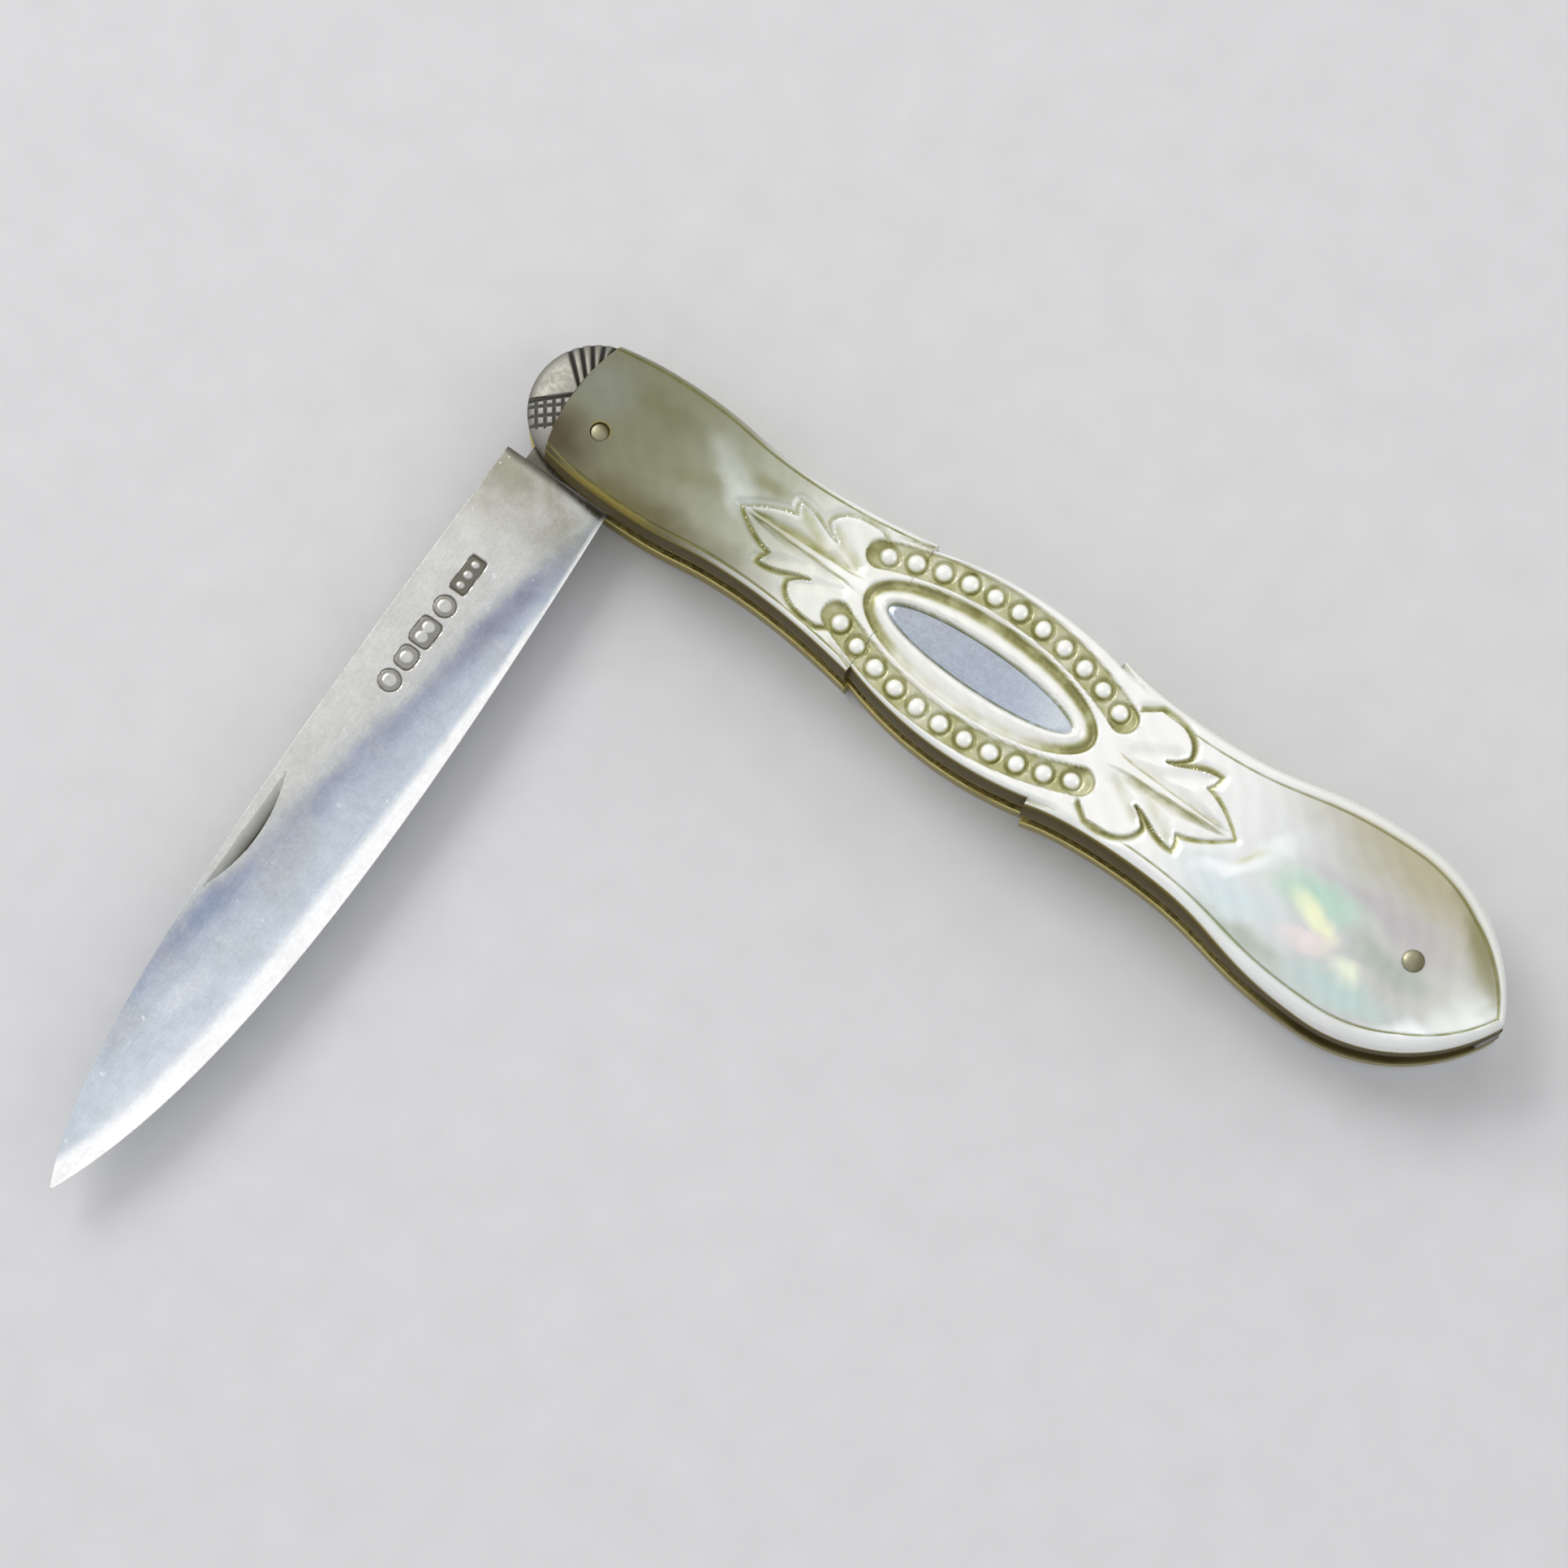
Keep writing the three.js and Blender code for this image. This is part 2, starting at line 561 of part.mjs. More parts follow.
// The spring fills the back of the slot: a straight arm over the tang that sweeps down to a broad tail.
function backspring() {
  const front = -(SHOULDER_AHEAD - SPRING_END_GAP);
  const tailX = END_PIN_X - SPRING_TAIL_RUN;
  const tailY = -(HOLE_RADIUS + SPRING_TAIL_WALL);
  const armEnd = tailX - SPRING_SWEEP;
  const middle = (armEnd + tailX) / 2;
  const region = new THREE.Shape();
  region.moveTo(front, SPRING_INNER_Y);
  region.lineTo(armEnd, SPRING_INNER_Y);
  region.bezierCurveTo(middle, SPRING_INNER_Y, middle, tailY, tailX, tailY);
  region.lineTo(TIP_X + CLEAR, tailY);
  region.lineTo(TIP_X + CLEAR, CLEAR);
  region.lineTo(front, CLEAR);
  const blank = solid(plate(handleShape(), 0, SLOT_WIDE));
  const bar = blank.intersect(solid(plate(region, -LIFT, SLOT_WIDE + 2 * LIFT)));
  return skin(bar.subtract(pinHoles(SLOT_WIDE)));
}

// The blade's outline: spine and edge run from the shoulder to the point.
const POINT = new THREE.Vector2(BLADE_LENGTH, POINT_RISE);
const SPINE_ROOT = TANG_FLAT + SPINE_STEP;
const EDGE_ROOT = TANG_FLAT - EDGE_STEP;
const spine = new THREE.CubicBezierCurve(
  new THREE.Vector2(SHOULDER_AHEAD, -SPINE_ROOT),
  new THREE.Vector2(SHOULDER_AHEAD + SPINE_STRAIGHT, -SPINE_ROOT),
  new THREE.Vector2(POINT.x - SPINE_TIP_RUN, POINT.y - SPINE_TIP_DROP),
  POINT,
);
const edge = new THREE.CubicBezierCurve(
  new THREE.Vector2(SHOULDER_AHEAD, EDGE_ROOT),
  new THREE.Vector2(SHOULDER_AHEAD + EDGE_ROOT_RUN, EDGE_ROOT + EDGE_ROOT_RISE),
  new THREE.Vector2(POINT.x - EDGE_TIP_RUN, POINT.y + EDGE_TIP_RISE),
  POINT,
);

// The blade's section at a share t of its length: thick at the spine, ground thin in two slopes to the edge.
function bladeSection(t) {
  const back = spine.getPoint(t);
  const cutting = edge.getPoint(t);
  const wide = back.distanceTo(cutting);
  const grind = Math.min(GRIND_WIDE, GRIND_SHARE * wide);
  const ground = wide > 0 ? cutting.clone().lerp(back, grind / wide) : cutting.clone();
  const thin = (thick) => (EDGE_THICK + (thick - EDGE_THICK) * (1 - t ** TAPER_POWER)) / 2;
  return [
    [cutting, EDGE_THICK / 2],
    [ground, thin(GRIND_THICK)],
    [back, thin(BLADE_THICK)],
  ];
}

function bladeBody() {
  const rings = [];
  for (let i = 0; i <= BLADE_STEPS; i++) {
    const section = bladeSection(i / BLADE_STEPS);
    const front = section.map(([p, half]) => new THREE.Vector3(p.x, p.y, half));
    const rear = section.map(([p, half]) => new THREE.Vector3(p.x, p.y, -half));
    rings.push([...front, ...rear.reverse()]);
  }
  return solid(loft(rings, fanLid));
}

// The tang: a disc about the pivot with a flat for each of its three rests, and a block behind the blade.
function tang() {
  const reach = Math.acos(TANG_FLAT / CAM_RADIUS);
  const rests = [CLOSED_DEG, HALF_OPEN_DEG, OPEN_DEG];
  const flats = rests.map((deg) => Math.PI / 2 - THREE.MathUtils.degToRad(deg));
  const shape = new THREE.Shape();
  flats.forEach((flat, i) => {
    const before = i > 0 ? flats[i - 1] : flats[flats.length - 1] - 2 * Math.PI;
    shape.absarc(0, 0, CAM_RADIUS, before + reach, flat - reach, false);
  });
  const half = BLADE_THICK / 2;
  const disc = plate(shape, -half, BLADE_THICK);
  const block = box(0, SHOULDER_AHEAD + TANG_LAP, -TANG_FLAT, EDGE_ROOT, -half, half);
  return solid(disc).add(solid(block));
}

// The nail nick: a tilted disc enters the front face along a chord near the spine and leaves a curved wall.
function nickCutter() {
  const shares = Array.from({ length: NICK_STEPS }, (_, i) => i / NICK_STEPS);
  const nickShare = shares.find((t) => spine.getPoint(t).x >= NICK_AHEAD);
  const [, [ground, low], [back, high]] = bladeSection(nickShare);
  const face = high + ((low - high) * NICK_BELOW_SPINE) / back.distanceTo(ground);
  const tilt = Math.atan(NICK_DEEP / NICK_ARCH);
  const arch = NICK_ARCH / Math.cos(tilt);
  const radius = ((NICK_LONG / 2) ** 2 + arch ** 2) / (2 * arch);
  const disc = new THREE.CylinderGeometry(radius, radius, BLADE_THICK, 2 * OVAL_STEPS);
  disc.rotateX(Math.PI / 2).translate(0, arch - radius, BLADE_THICK / 2).rotateX(-tilt);
  return disc.translate(NICK_AHEAD, back.y + NICK_BELOW_SPINE, face);
}

function blade() {
  const hole = post(0, 0, HOLE_RADIUS, -BLADE_THICK, BLADE_THICK);
  return skin(bladeBody().add(tang()).subtract(join([solid(nickCutter()), solid(hole)])));
}

// The end pin: a shank with a low domed head on the front face.
function endPin() {
  const profile = [new THREE.Vector2(0, PIN_RECESS), new THREE.Vector2(PIN_RADIUS, PIN_RECESS)];
  profile.push(new THREE.Vector2(PIN_RADIUS, FRONT_FACE_Z));
  for (let i = 0; i <= RIM_STEPS; i++) {
    const turn = ((Math.PI / 2) * i) / RIM_STEPS;
    const radius = i < RIM_STEPS ? (HOLE_RADIUS + RIVET_LIP) * Math.cos(turn) : 0;
    profile.push(new THREE.Vector2(radius, FRONT_FACE_Z + RIVET_RISE * Math.sin(turn)));
  }
  return new THREE.LatheGeometry(profile, ROUND_STEPS).rotateX(Math.PI / 2).translate(END_PIN_X, 0, 0);
}

function piece(name, geometry, material, z) {
  const mesh = new THREE.Mesh(geometry, material);
  mesh.name = name;
  mesh.position.z = z;
  return mesh;
}

// A piece that lies face down under the rear liner.
function rearPiece(name, geometry, material) {
  const mesh = piece(name, geometry, material, REAR_LINER_Z);
  mesh.rotation.x = Math.PI;
  return mesh;
}

const knife = new THREE.Group();
const handle = new THREE.Group();
handle.add(
  rearPiece("rear_scale", carvedScale(-PIVOT_Y, false), pearl),
  rearPiece("rear_bolster", bolster(), silver),
  piece("rear_liner", liner(), gilt, REAR_LINER_Z),
  piece("backspring", backspring(), steel, SLOT_Z),
  piece("front_liner", liner(), gilt, FRONT_LINER_Z),
  piece("front_scale", carvedScale(PIVOT_Y, true), pearl, FRONT_SCALE_Z),
  piece("front_bolster", bolster(), silver, FRONT_SCALE_Z),
  piece("escutcheon", escutcheon(), silver, FRONT_SCALE_Z),
  piece("pivot_pin", post(0, PIVOT_Y, PIN_RADIUS, PIN_RECESS, FRONT_FACE_Z - PIN_RECESS), silver, 0),
  piece("centre_pin", post(CENTRE_PIN_X, CENTRE_PIN_Y, PIN_RADIUS, REAR_LINER_Z, FRONT_SCALE_Z), steel, 0),
  piece("end_pin", endPin(), silver, 0),
);
knife.add(handle);

const turningBlade = new THREE.Group();
turningBlade.position.set(0, PIVOT_Y, SLOT_Z + SLOT_WIDE / 2);
turningBlade.rotation.z = THREE.MathUtils.degToRad(HALF_OPEN_DEG);
turningBlade.add(piece("blade", blade(), silver, 0));
knife.add(turningBlade);

export default knife;
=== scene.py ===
# %% [markdown]
# # A folding fruit knife in silver and pearl
# The knife lies half open: a silver blade stands square to a handle of carved mother-of-pearl.
# Its construction is loaded as a fixed frame, already at its real size and with its hinge.
# This lesson adds what the frame leaves plain: the carving, the engraving and the finish of each surface.
# The frame's box is kept, so that the dressed knife can be compared with it at the end.

# %% Load the frame
import json
import math

import bmesh
import bpy
import numpy as np
from mathutils import Matrix, Vector


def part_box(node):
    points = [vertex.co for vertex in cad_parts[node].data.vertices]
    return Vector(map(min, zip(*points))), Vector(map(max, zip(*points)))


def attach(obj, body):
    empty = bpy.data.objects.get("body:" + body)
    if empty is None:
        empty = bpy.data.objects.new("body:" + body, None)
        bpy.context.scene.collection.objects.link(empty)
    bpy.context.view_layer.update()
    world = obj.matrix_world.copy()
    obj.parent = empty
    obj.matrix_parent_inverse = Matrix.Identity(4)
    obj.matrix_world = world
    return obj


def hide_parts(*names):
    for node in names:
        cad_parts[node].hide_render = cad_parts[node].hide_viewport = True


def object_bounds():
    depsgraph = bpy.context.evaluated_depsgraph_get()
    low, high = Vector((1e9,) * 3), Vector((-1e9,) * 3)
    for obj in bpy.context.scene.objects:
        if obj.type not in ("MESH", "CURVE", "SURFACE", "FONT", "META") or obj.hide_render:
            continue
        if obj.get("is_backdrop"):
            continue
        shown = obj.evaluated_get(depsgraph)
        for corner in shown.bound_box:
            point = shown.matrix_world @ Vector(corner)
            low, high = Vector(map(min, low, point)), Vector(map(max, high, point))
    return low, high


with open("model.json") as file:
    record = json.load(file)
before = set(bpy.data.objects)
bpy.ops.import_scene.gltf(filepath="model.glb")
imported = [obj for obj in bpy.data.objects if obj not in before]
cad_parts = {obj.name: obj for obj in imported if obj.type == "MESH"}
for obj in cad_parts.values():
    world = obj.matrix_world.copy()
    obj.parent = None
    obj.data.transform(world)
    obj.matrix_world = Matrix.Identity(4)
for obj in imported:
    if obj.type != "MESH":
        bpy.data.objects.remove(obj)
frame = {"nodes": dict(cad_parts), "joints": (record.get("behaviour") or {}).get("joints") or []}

MM = 0.001
cad_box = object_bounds()

# %% [markdown]
# ## The camera
# The photograph looks down steeply on the knife with a long lens, so that near and far parts keep their
# proportions. A camera could be placed by hand, but angles and a distance are easier to correct:
# the direction to the camera is worked out from two angles, and the camera then turns to face its target.

# %% Place the camera
LOOK_AT = Vector((26.55, -15.31, 5.9)) * MM
VIEW_ROUND = math.radians(35.3)
VIEW_UP = math.radians(76.0)
VIEW_DISTANCE = 0.4563
LENS, CLIP_START = 142.5, 0.01


def added(name, data):
    """A new object of the scene that shows the given data."""
    made = bpy.data.objects.new(name, data)
    bpy.context.scene.collection.objects.link(made)
    return made


to_camera = Vector((
    math.sin(VIEW_ROUND) * math.cos(VIEW_UP),
    -math.cos(VIEW_ROUND) * math.cos(VIEW_UP),
    math.sin(VIEW_UP),
))
camera = added("camera", bpy.data.cameras.new("camera"))
camera.data.lens = LENS
camera.data.clip_start = CLIP_START
camera.location = LOOK_AT + to_camera * VIEW_DISTANCE
camera.rotation_euler = to_camera.to_track_quat("Z", "Y").to_euler()
bpy.context.scene.camera = camera
bpy.context.scene.view_settings.view_transform = "Standard"
print("camera at", [round(value, 3) for value in camera.location], "m")

# %% [markdown]
# ## Helpers for node trees
# Materials, the world and Geometry Nodes are all trees of nodes. Adding one takes three steps: make it,
# set its options, fill its inputs with values or links. One short function does all three, so that a tree
# can be read from top to bottom. Colours are easiest to judge as they look on a screen, from 0 to 255,
# while shaders need linear light, so another function translates. The rest are short names for the nodes
# used most often here.

# %% Helpers for nodes and colours
def fill(tree, node, inputs):
    """Fills a node's inputs with values or links."""
    for key, value in inputs.items():
        if isinstance(value, bpy.types.NodeSocket):
            tree.links.new(value, node.inputs[key])
        else:
            node.inputs[key].default_value = value


def place(tree, kind, inputs=None, **options):
    """Adds a node, sets its options and fills its inputs."""
    node = tree.nodes.new(kind)
    for name, value in options.items():
        setattr(node, name, value)
    fill(tree, node, inputs or {})
    return node


def new_material(name):
    """A new material, with its node tree and its surface shader."""
    material = bpy.data.materials.new(name)
    material.use_nodes = True
    return material, material.node_tree, material.node_tree.nodes["Principled BSDF"]


def tone(red, green, blue):
    """A colour as it looks on a screen, 0 to 255, turned into linear light."""
    levels = [value / 255 for value in (red, green, blue)]
    linear = [v / 12.92 if v <= 0.04045 else ((v + 0.055) / 1.055) ** 2.4 for v in levels]
    return (*linear, 1.0)


def ramp(tree, factor, stops):
    """A colour ramp over the given (position, colour) stops."""
    node = place(tree, "ShaderNodeValToRGB", {"Fac": factor})
    elements = node.color_ramp.elements
    while len(elements) < len(stops):
        elements.new(0.5)
    for element, (position, colour) in zip(elements, stops):
        element.position = position
        element.color = colour
    return node.outputs["Color"]


def remap(tree, value, low, high, to_low, to_high, kind="SMOOTHSTEP"):
    """Turns one range of values into another, without leaving the second."""
    limits = {"Value": value, 1: low, 2: high, 3: to_low, 4: to_high}
    return place(tree, "ShaderNodeMapRange", limits, interpolation_type=kind).outputs["Result"]


def mixed(tree, factor, first, second):
    """Two colours mixed by a factor."""
    return place(tree, "ShaderNodeMix", {0: factor, 6: first, 7: second}, data_type="RGBA").outputs[2]


def calc(tree, operation, first, second=0.0):
    """One step of arithmetic on node values."""
    return place(tree, "ShaderNodeMath", {0: first, 1: second}, operation=operation).outputs[0]


def times(tree, first, second):
    """The product of two node values."""
    return calc(tree, "MULTIPLY", first, second)


def scaled(tree, vector, factor):
    """A vector or colour, multiplied by one factor."""
    return place(tree, "ShaderNodeVectorMath", {0: vector, "Scale": factor}, operation="SCALE").outputs[0]


def stored(tree, name):
    """A number that the mesh keeps for each of its points."""
    return place(tree, "ShaderNodeAttribute", attribute_name=name).outputs["Fac"]


def banded(tree, value, stops):
    """A colour ramp whose stops are written in the value's own unit."""
    low, high = stops[0][0], stops[-1][0]
    share = remap(tree, value, low, high, 0, 1, "LINEAR")
    return ramp(tree, share, [((at - low) / (high - low), tone(*colour)) for at, colour in stops])


def noise(tree, vector, scale, detail=3.0, distortion=0.0, seed=0.0):
    """Cloudy noise between 0 and 1."""
    inputs = {"Vector": vector, "W": seed, "Scale": scale, "Detail": detail, "Distortion": distortion}
    return place(tree, "ShaderNodeTexNoise", inputs, noise_dimensions="4D").outputs[0]


print("pale grey 204 is", round(tone(204, 204, 204)[0], 3), "in linear light")

# %% [markdown]
# ## The studio
# Polished silver has hardly a colour of its own: it shows what stands round it. So the studio matters as
# much as the metal. The world here is a soft ceiling that is bright at the back, dimmer at the viewer's
# side, and has one cooler seam across it, as between two light panels. One large lamp at the upper left
# gives the shadows their direction, and a weaker one on the right softens them.

# %% Build the studio
SEAM_AXIS = (1.0, -1.37, 0.0)
SEAM_PLACE = 0.218
SEAM_REACH = 0.5
BACK_AXIS = (-math.sin(VIEW_ROUND), math.cos(VIEW_ROUND), 0.0)
FRONT_LEVEL, BACK_LEVEL, LEVEL_RUN = 0.74, 0.94, (-0.75, 0.35)
PALE_GREY = tone(214, 214, 215)

CEILING = [
    (0.30, (0.94, 0.93, 0.91, 1)),
    (0.42, (0.80, 0.80, 0.85, 1)),
    (0.52, (0.86, 0.89, 0.95, 1)),
    (0.64, (1.03, 1.03, 1.03, 1)),
    (0.82, (0.88, 0.89, 0.92, 1)),
]

world = bpy.data.worlds.new("soft_studio")
bpy.context.scene.world = world
world.use_nodes = True
sky = world.node_tree
direction = place(sky, "ShaderNodeTexCoord").outputs["Generated"]
across = place(sky, "ShaderNodeVectorMath", {0: direction, 1: SEAM_AXIS}, operation="DOT_PRODUCT")
seam = calc(sky, "ADD", across.outputs["Value"], SEAM_PLACE)
ceiling = ramp(sky, remap(sky, seam, -SEAM_REACH, SEAM_REACH, 0, 1, "LINEAR"), CEILING)
depth = place(sky, "ShaderNodeVectorMath", {0: direction, 1: BACK_AXIS}, operation="DOT_PRODUCT")
level = remap(sky, depth.outputs["Value"], *LEVEL_RUN, FRONT_LEVEL, BACK_LEVEL)
light = sky.nodes["Background"]
fill(sky, light, {"Color": scaled(sky, ceiling, level)})
backdrop = place(sky, "ShaderNodeBackground", {"Color": PALE_GREY})
seen = place(sky, "ShaderNodeLightPath").outputs["Is Camera Ray"]
shown = place(sky, "ShaderNodeMixShader", {0: seen, 1: light.outputs[0], 2: backdrop.outputs[0]})
fill(sky, sky.nodes["World Output"], {"Surface": shown.outputs[0]})
print("world: a ceiling of", len(CEILING), "tones")

# %% [markdown]
# A lamp's power is spread over its area, so a large one close by gives soft shadows at a few watts.
# The floor is a sheet of pale paper just under the knife. It is marked as stage, because it isn't part of
# the object.

# %% Add the lamps and the floor
LAMPS = {
    "key_panel": {"from": (-0.75, 0.2, 0.75), "distance": 0.9, "size": 0.5, "watts": 3.2},
    "side_panel": {"from": (0.8, 0.35, 0.5), "distance": 1.0, "size": 0.7, "watts": 0.9},
}
FLOOR_HALF = 1.5
FLOOR_BELOW = 0.02 * MM
FLOOR_CORNERS = [(-1, -1), (1, -1), (1, 1), (-1, 1)]
PAPER_TONES = [(0.3, tone(203, 203, 204)), (0.7, tone(208, 208, 209))]
PAPER_SPOTS, PAPER_ROUGH = 240.0, 0.7

for name, lamp in LAMPS.items():
    toward = Vector(lamp["from"]).normalized()
    panel = added(name, bpy.data.lights.new(name, "AREA"))
    panel.data.shape = "DISK"
    panel.data.size = lamp["size"]
    panel.data.energy = lamp["watts"]
    panel.location = LOOK_AT + toward * lamp["distance"]
    panel.rotation_euler = toward.to_track_quat("Z", "Y").to_euler()

sheet = bpy.data.meshes.new("floor")
corners = [(x * FLOOR_HALF, y * FLOOR_HALF, -FLOOR_BELOW) for x, y in FLOOR_CORNERS]
sheet.from_pydata(corners, [], [(0, 1, 2, 3)])
floor = added("floor", sheet)
floor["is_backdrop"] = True

paper, tree, surface = new_material("pale_paper")
spots = noise(tree, place(tree, "ShaderNodeTexCoord").outputs["Object"], PAPER_SPOTS, 4.0)
fill(tree, surface, {"Base Color": ramp(tree, spots, PAPER_TONES), "Roughness": PAPER_ROUGH})
sheet.materials.append(paper)
print("lamps:", ", ".join(LAMPS))

# %% [markdown]
# ## Turning sections into a skin
# Nearly every piece here is a loft: a row of closed sections, each with the same number of points, joined
# to its neighbour by a strip of faces. A box or cylinder with modifiers would be quicker to start, but a
# loft follows any curve, and its points can carry carving. The sections are written in millimetres and
# become metres in one place. Doubled points are merged and the faces turned outwards, so the skin is
# closed.

# %% Helpers for meshes
CREASE = math.radians(36)
DOUBLED, SLIVER = 2e-4 * MM, 1e-5 * MM


def finished(mesh, crease=CREASE):
    """Merges doubled points, turns the faces outwards and smooths all but the creases."""
    work = bmesh.new()
    work.from_mesh(mesh)
    bmesh.ops.remove_doubles(work, verts=work.verts, dist=DOUBLED)
    bmesh.ops.dissolve_degenerate(work, edges=work.edges, dist=SLIVER)
    bmesh.ops.recalc_face_normals(work, faces=work.faces)
    work.to_mesh(mesh)
    work.free()
    mesh.shade_smooth()
    mesh.set_sharp_from_angle(angle=crease)
    return mesh


def loft(name, rings):
    """A closed skin over rings of points in millimetres, with a lid on the first and the last ring."""
    rings = np.asarray(rings, float)
    count, width = rings.shape[:2]
    here = np.arange(count * width).reshape(count, width)
    beside = np.roll(here, -1, axis=1)
    strips = np.stack([here[:-1], beside[:-1], beside[1:], here[1:]], axis=-1).reshape(-1, 4)
    lids = [here[0, ::-1].tolist(), here[-1].tolist()]
    mesh = bpy.data.meshes.new(name)
    mesh.from_pydata((rings.reshape(-1, 3) * MM).tolist(), [], strips.tolist() + lids)
    return finished(mesh)


def combined(mesh, other, operation="DIFFERENCE", crease=CREASE):
    """Cuts one closed mesh with another, or joins the two."""
    base = added("base", mesh)
    tool = added("tool", other)
    step = base.modifiers.new("combine", "BOOLEAN")
    step.object = tool
    step.operation = operation
    step.solver = "MANIFOLD"
    shaped = base.evaluated_get(bpy.context.evaluated_depsgraph_get())
    result = bpy.data.meshes.new_from_object(shaped)
    result.name = mesh.name
    for made in (base, tool):
        bpy.data.objects.remove(made)
    return finished(result, crease)


def positions(mesh):
    """A mesh's points as rows of x, y and z in millimetres."""
    flat = np.empty(len(mesh.vertices) * 3)
    mesh.vertices.foreach_get("co", flat)
    return flat.reshape(-1, 3) / MM


def store(mesh, name, values, domain="POINT"):
    """Keeps one number for each point or corner, for the material to read."""
    mesh.attributes.new(name, "FLOAT", domain).data.foreach_set("value", np.asarray(values, np.float32))


def piece(name, mesh, material, body, slot, *nodes):
    """Shows a finished mesh as a piece that rides on a body and stands for the frame's nodes."""
    mesh.materials.clear()
    mesh.materials.append(material)
    made = added(name, mesh)
    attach(made, body)
    if nodes:
        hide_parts(*nodes)
    triangles = sum(len(face.vertices) - 2 for face in mesh.polygons)
    print(f"{name}: {triangles} triangles")


print("creases over", round(math.degrees(CREASE)), "degrees stay sharp")

# %% [markdown]
# ## Mother-of-pearl
# Pearl shell is built of thin clear layers over a pale ground. They part the light into soft greens, pinks
# and yellows, and towards the hinge of the shell the pearl is smoky. An image would fix one pattern to one
# handle. Here a ramp runs along the handle, and soft glows are laid over it: each is an oval with a place,
# a size, a turn, a colour and a strength, and noise bends its edge. The layers themselves show as fine
# lines on the pale walls.

# %% The tones of clean pearl
PEARL_ALONG = [
    (-4.0, (112, 110, 86)), (4.0, (122, 123, 94)), (9.0, (146, 148, 124)), (14.0, (176, 179, 160)),
    (19.0, (230, 231, 222)), (27.0, (244, 244, 237)), (50.0, (246, 246, 242)), (56.0, (234, 235, 233)),
    (64.0, (206, 209, 208)), (72.0, (198, 197, 192)), (79.0, (216, 219, 210)),
]
# Most glows are the pearl's own colours. Four are painted light: highlights at the vein's root, on the lower
# rim and at the tip, and shade inside the rim line.
GLOWS = {
    "grey veil": ((-1.5, 1.5), (3.4, 3.6), 0, (126, 130, 114), 0.8),
    "smoky edge": ((6.0, -5.4), (14.0, 3.0), 3, (90, 82, 40), 0.95),
    "smoky corner": ((-2.6, -4.0), (4.6, 3.4), 20, (64, 53, 12), 1.0),
    "moss by the back": ((3.0, 2.8), (4.4, 1.5), 0, (106, 110, 72), 0.7),
    "moss in the middle": ((7.2, -0.6), (3.2, 1.3), 12, (122, 122, 82), 0.5),
    "moss by the leaf": ((12.6, 2.4), (2.6, 1.1), 0, (134, 136, 96), 0.8),
    "pale cloud": ((9.6, 1.8), (3.8, 1.6), -34, (182, 187, 176), 0.8),
    "pale drift": ((11.4, 0.5), (3.2, 1.2), -22, (204, 209, 199), 0.85),
    "cool veil": ((58.0, -3.6), (7.0, 2.8), 0, (212, 226, 227), 0.9),
    "reed shade": ((60.2, -6.0), (6.2, 1.5), -6, (176, 188, 174), 0.9),
    "green lobe": ((16.9, 2.2), (2.3, 1.1), -8, (190, 200, 178), 0.6),
    # A painted highlight.
    "painted highlight at the vein's root": ((21.8, 0.2), (2.4, 1.1), 0, (255, 255, 251), 0.9),
    "pale fold": ((59.0, 0.9), (2.6, 1.3), 48, (240, 246, 244), 0.9),
    "lemon fold": ((57.5, -0.9), (1.9, 0.6), 44, (214, 211, 176), 0.85),
    "white fold": ((57.0, -1.8), (4.2, 0.6), 40, (250, 253, 253), 0.95),
    "tan shade": ((69.0, 6.6), (16.0, 5.4), -8, (180, 174, 144), 0.95),
    # Painted shade.
    "painted shade inside the rim line": ((75.2, 4.5), (10.5, 2.3), -44, (138, 135, 92), 0.95),
    "rosy veil": ((68.5, 1.7), (9.0, 1.7), -3, (188, 183, 184), 0.8),
    "green glow": ((63.4, -0.1), (5.2, 2.1), 4, (184, 216, 197), 0.95),
    "grey-green veil": ((70.6, -1.3), (5.0, 1.4), -4, (172, 184, 170), 0.85),
    "sea veil": ((68.6, -5.2), (6.4, 2.2), 8, (190, 213, 208), 0.85),
    "yellow glow": ((64.1, -1.5), (3.6, 1.1), -28, (243, 247, 208), 1.0),
    "pink glow": ((64.4, -3.3), (3.0, 1.1), 16, (238, 224, 224), 0.85),
    "lemon glow": ((68.4, -3.6), (2.0, 1.5), 0, (238, 244, 220), 0.95),
    # Painted highlights.
    "painted highlight on the lower rim": ((74.6, -5.2), (5.8, 1.7), 38, (246, 250, 250), 1.0),
    "painted highlight at the tip": ((77.6, -1.4), (3.2, 1.9), 40, (242, 247, 242), 0.9),
}
# The white below is a painted highlight on the rounded rim.
RIM_HIGHLIGHT = tone(244, 246, 242)
PEARL_DRIFT, PEARL_WAVES = 3.0, (0.975, 1.02)
RIM_HIGHLIGHT_RUN, RIM_HIGHLIGHT_COVER = (7, 20), (0, 0.85)
SHEETS, SHEET_DARK = (0.06, 0.06, 2.4), 0.13
OVAL_EDGE, ANY_DEPTH = (1.1, 0.1), 1e6


def millimetres(tree):
    """Object coordinates, counted in millimetres."""
    return scaled(tree, place(tree, "ShaderNodeTexCoord").outputs["Object"], 1 / MM)


def glow(tree, spot, centre, reach, turn):
    """How strongly a soft oval covers a point: 1 in its middle, 0 outside it."""
    inside = place(tree, "ShaderNodeMapping", {
        "Vector": spot,
        "Location": (*centre, 0),
        "Rotation": (0, 0, math.radians(turn)),
        "Scale": (*reach, ANY_DEPTH),
    }, vector_type="TEXTURE").outputs[0]
    far = place(tree, "ShaderNodeVectorMath", {0: inside}, operation="LENGTH").outputs["Value"]
    return remap(tree, far, *OVAL_EDGE, 0, 1)


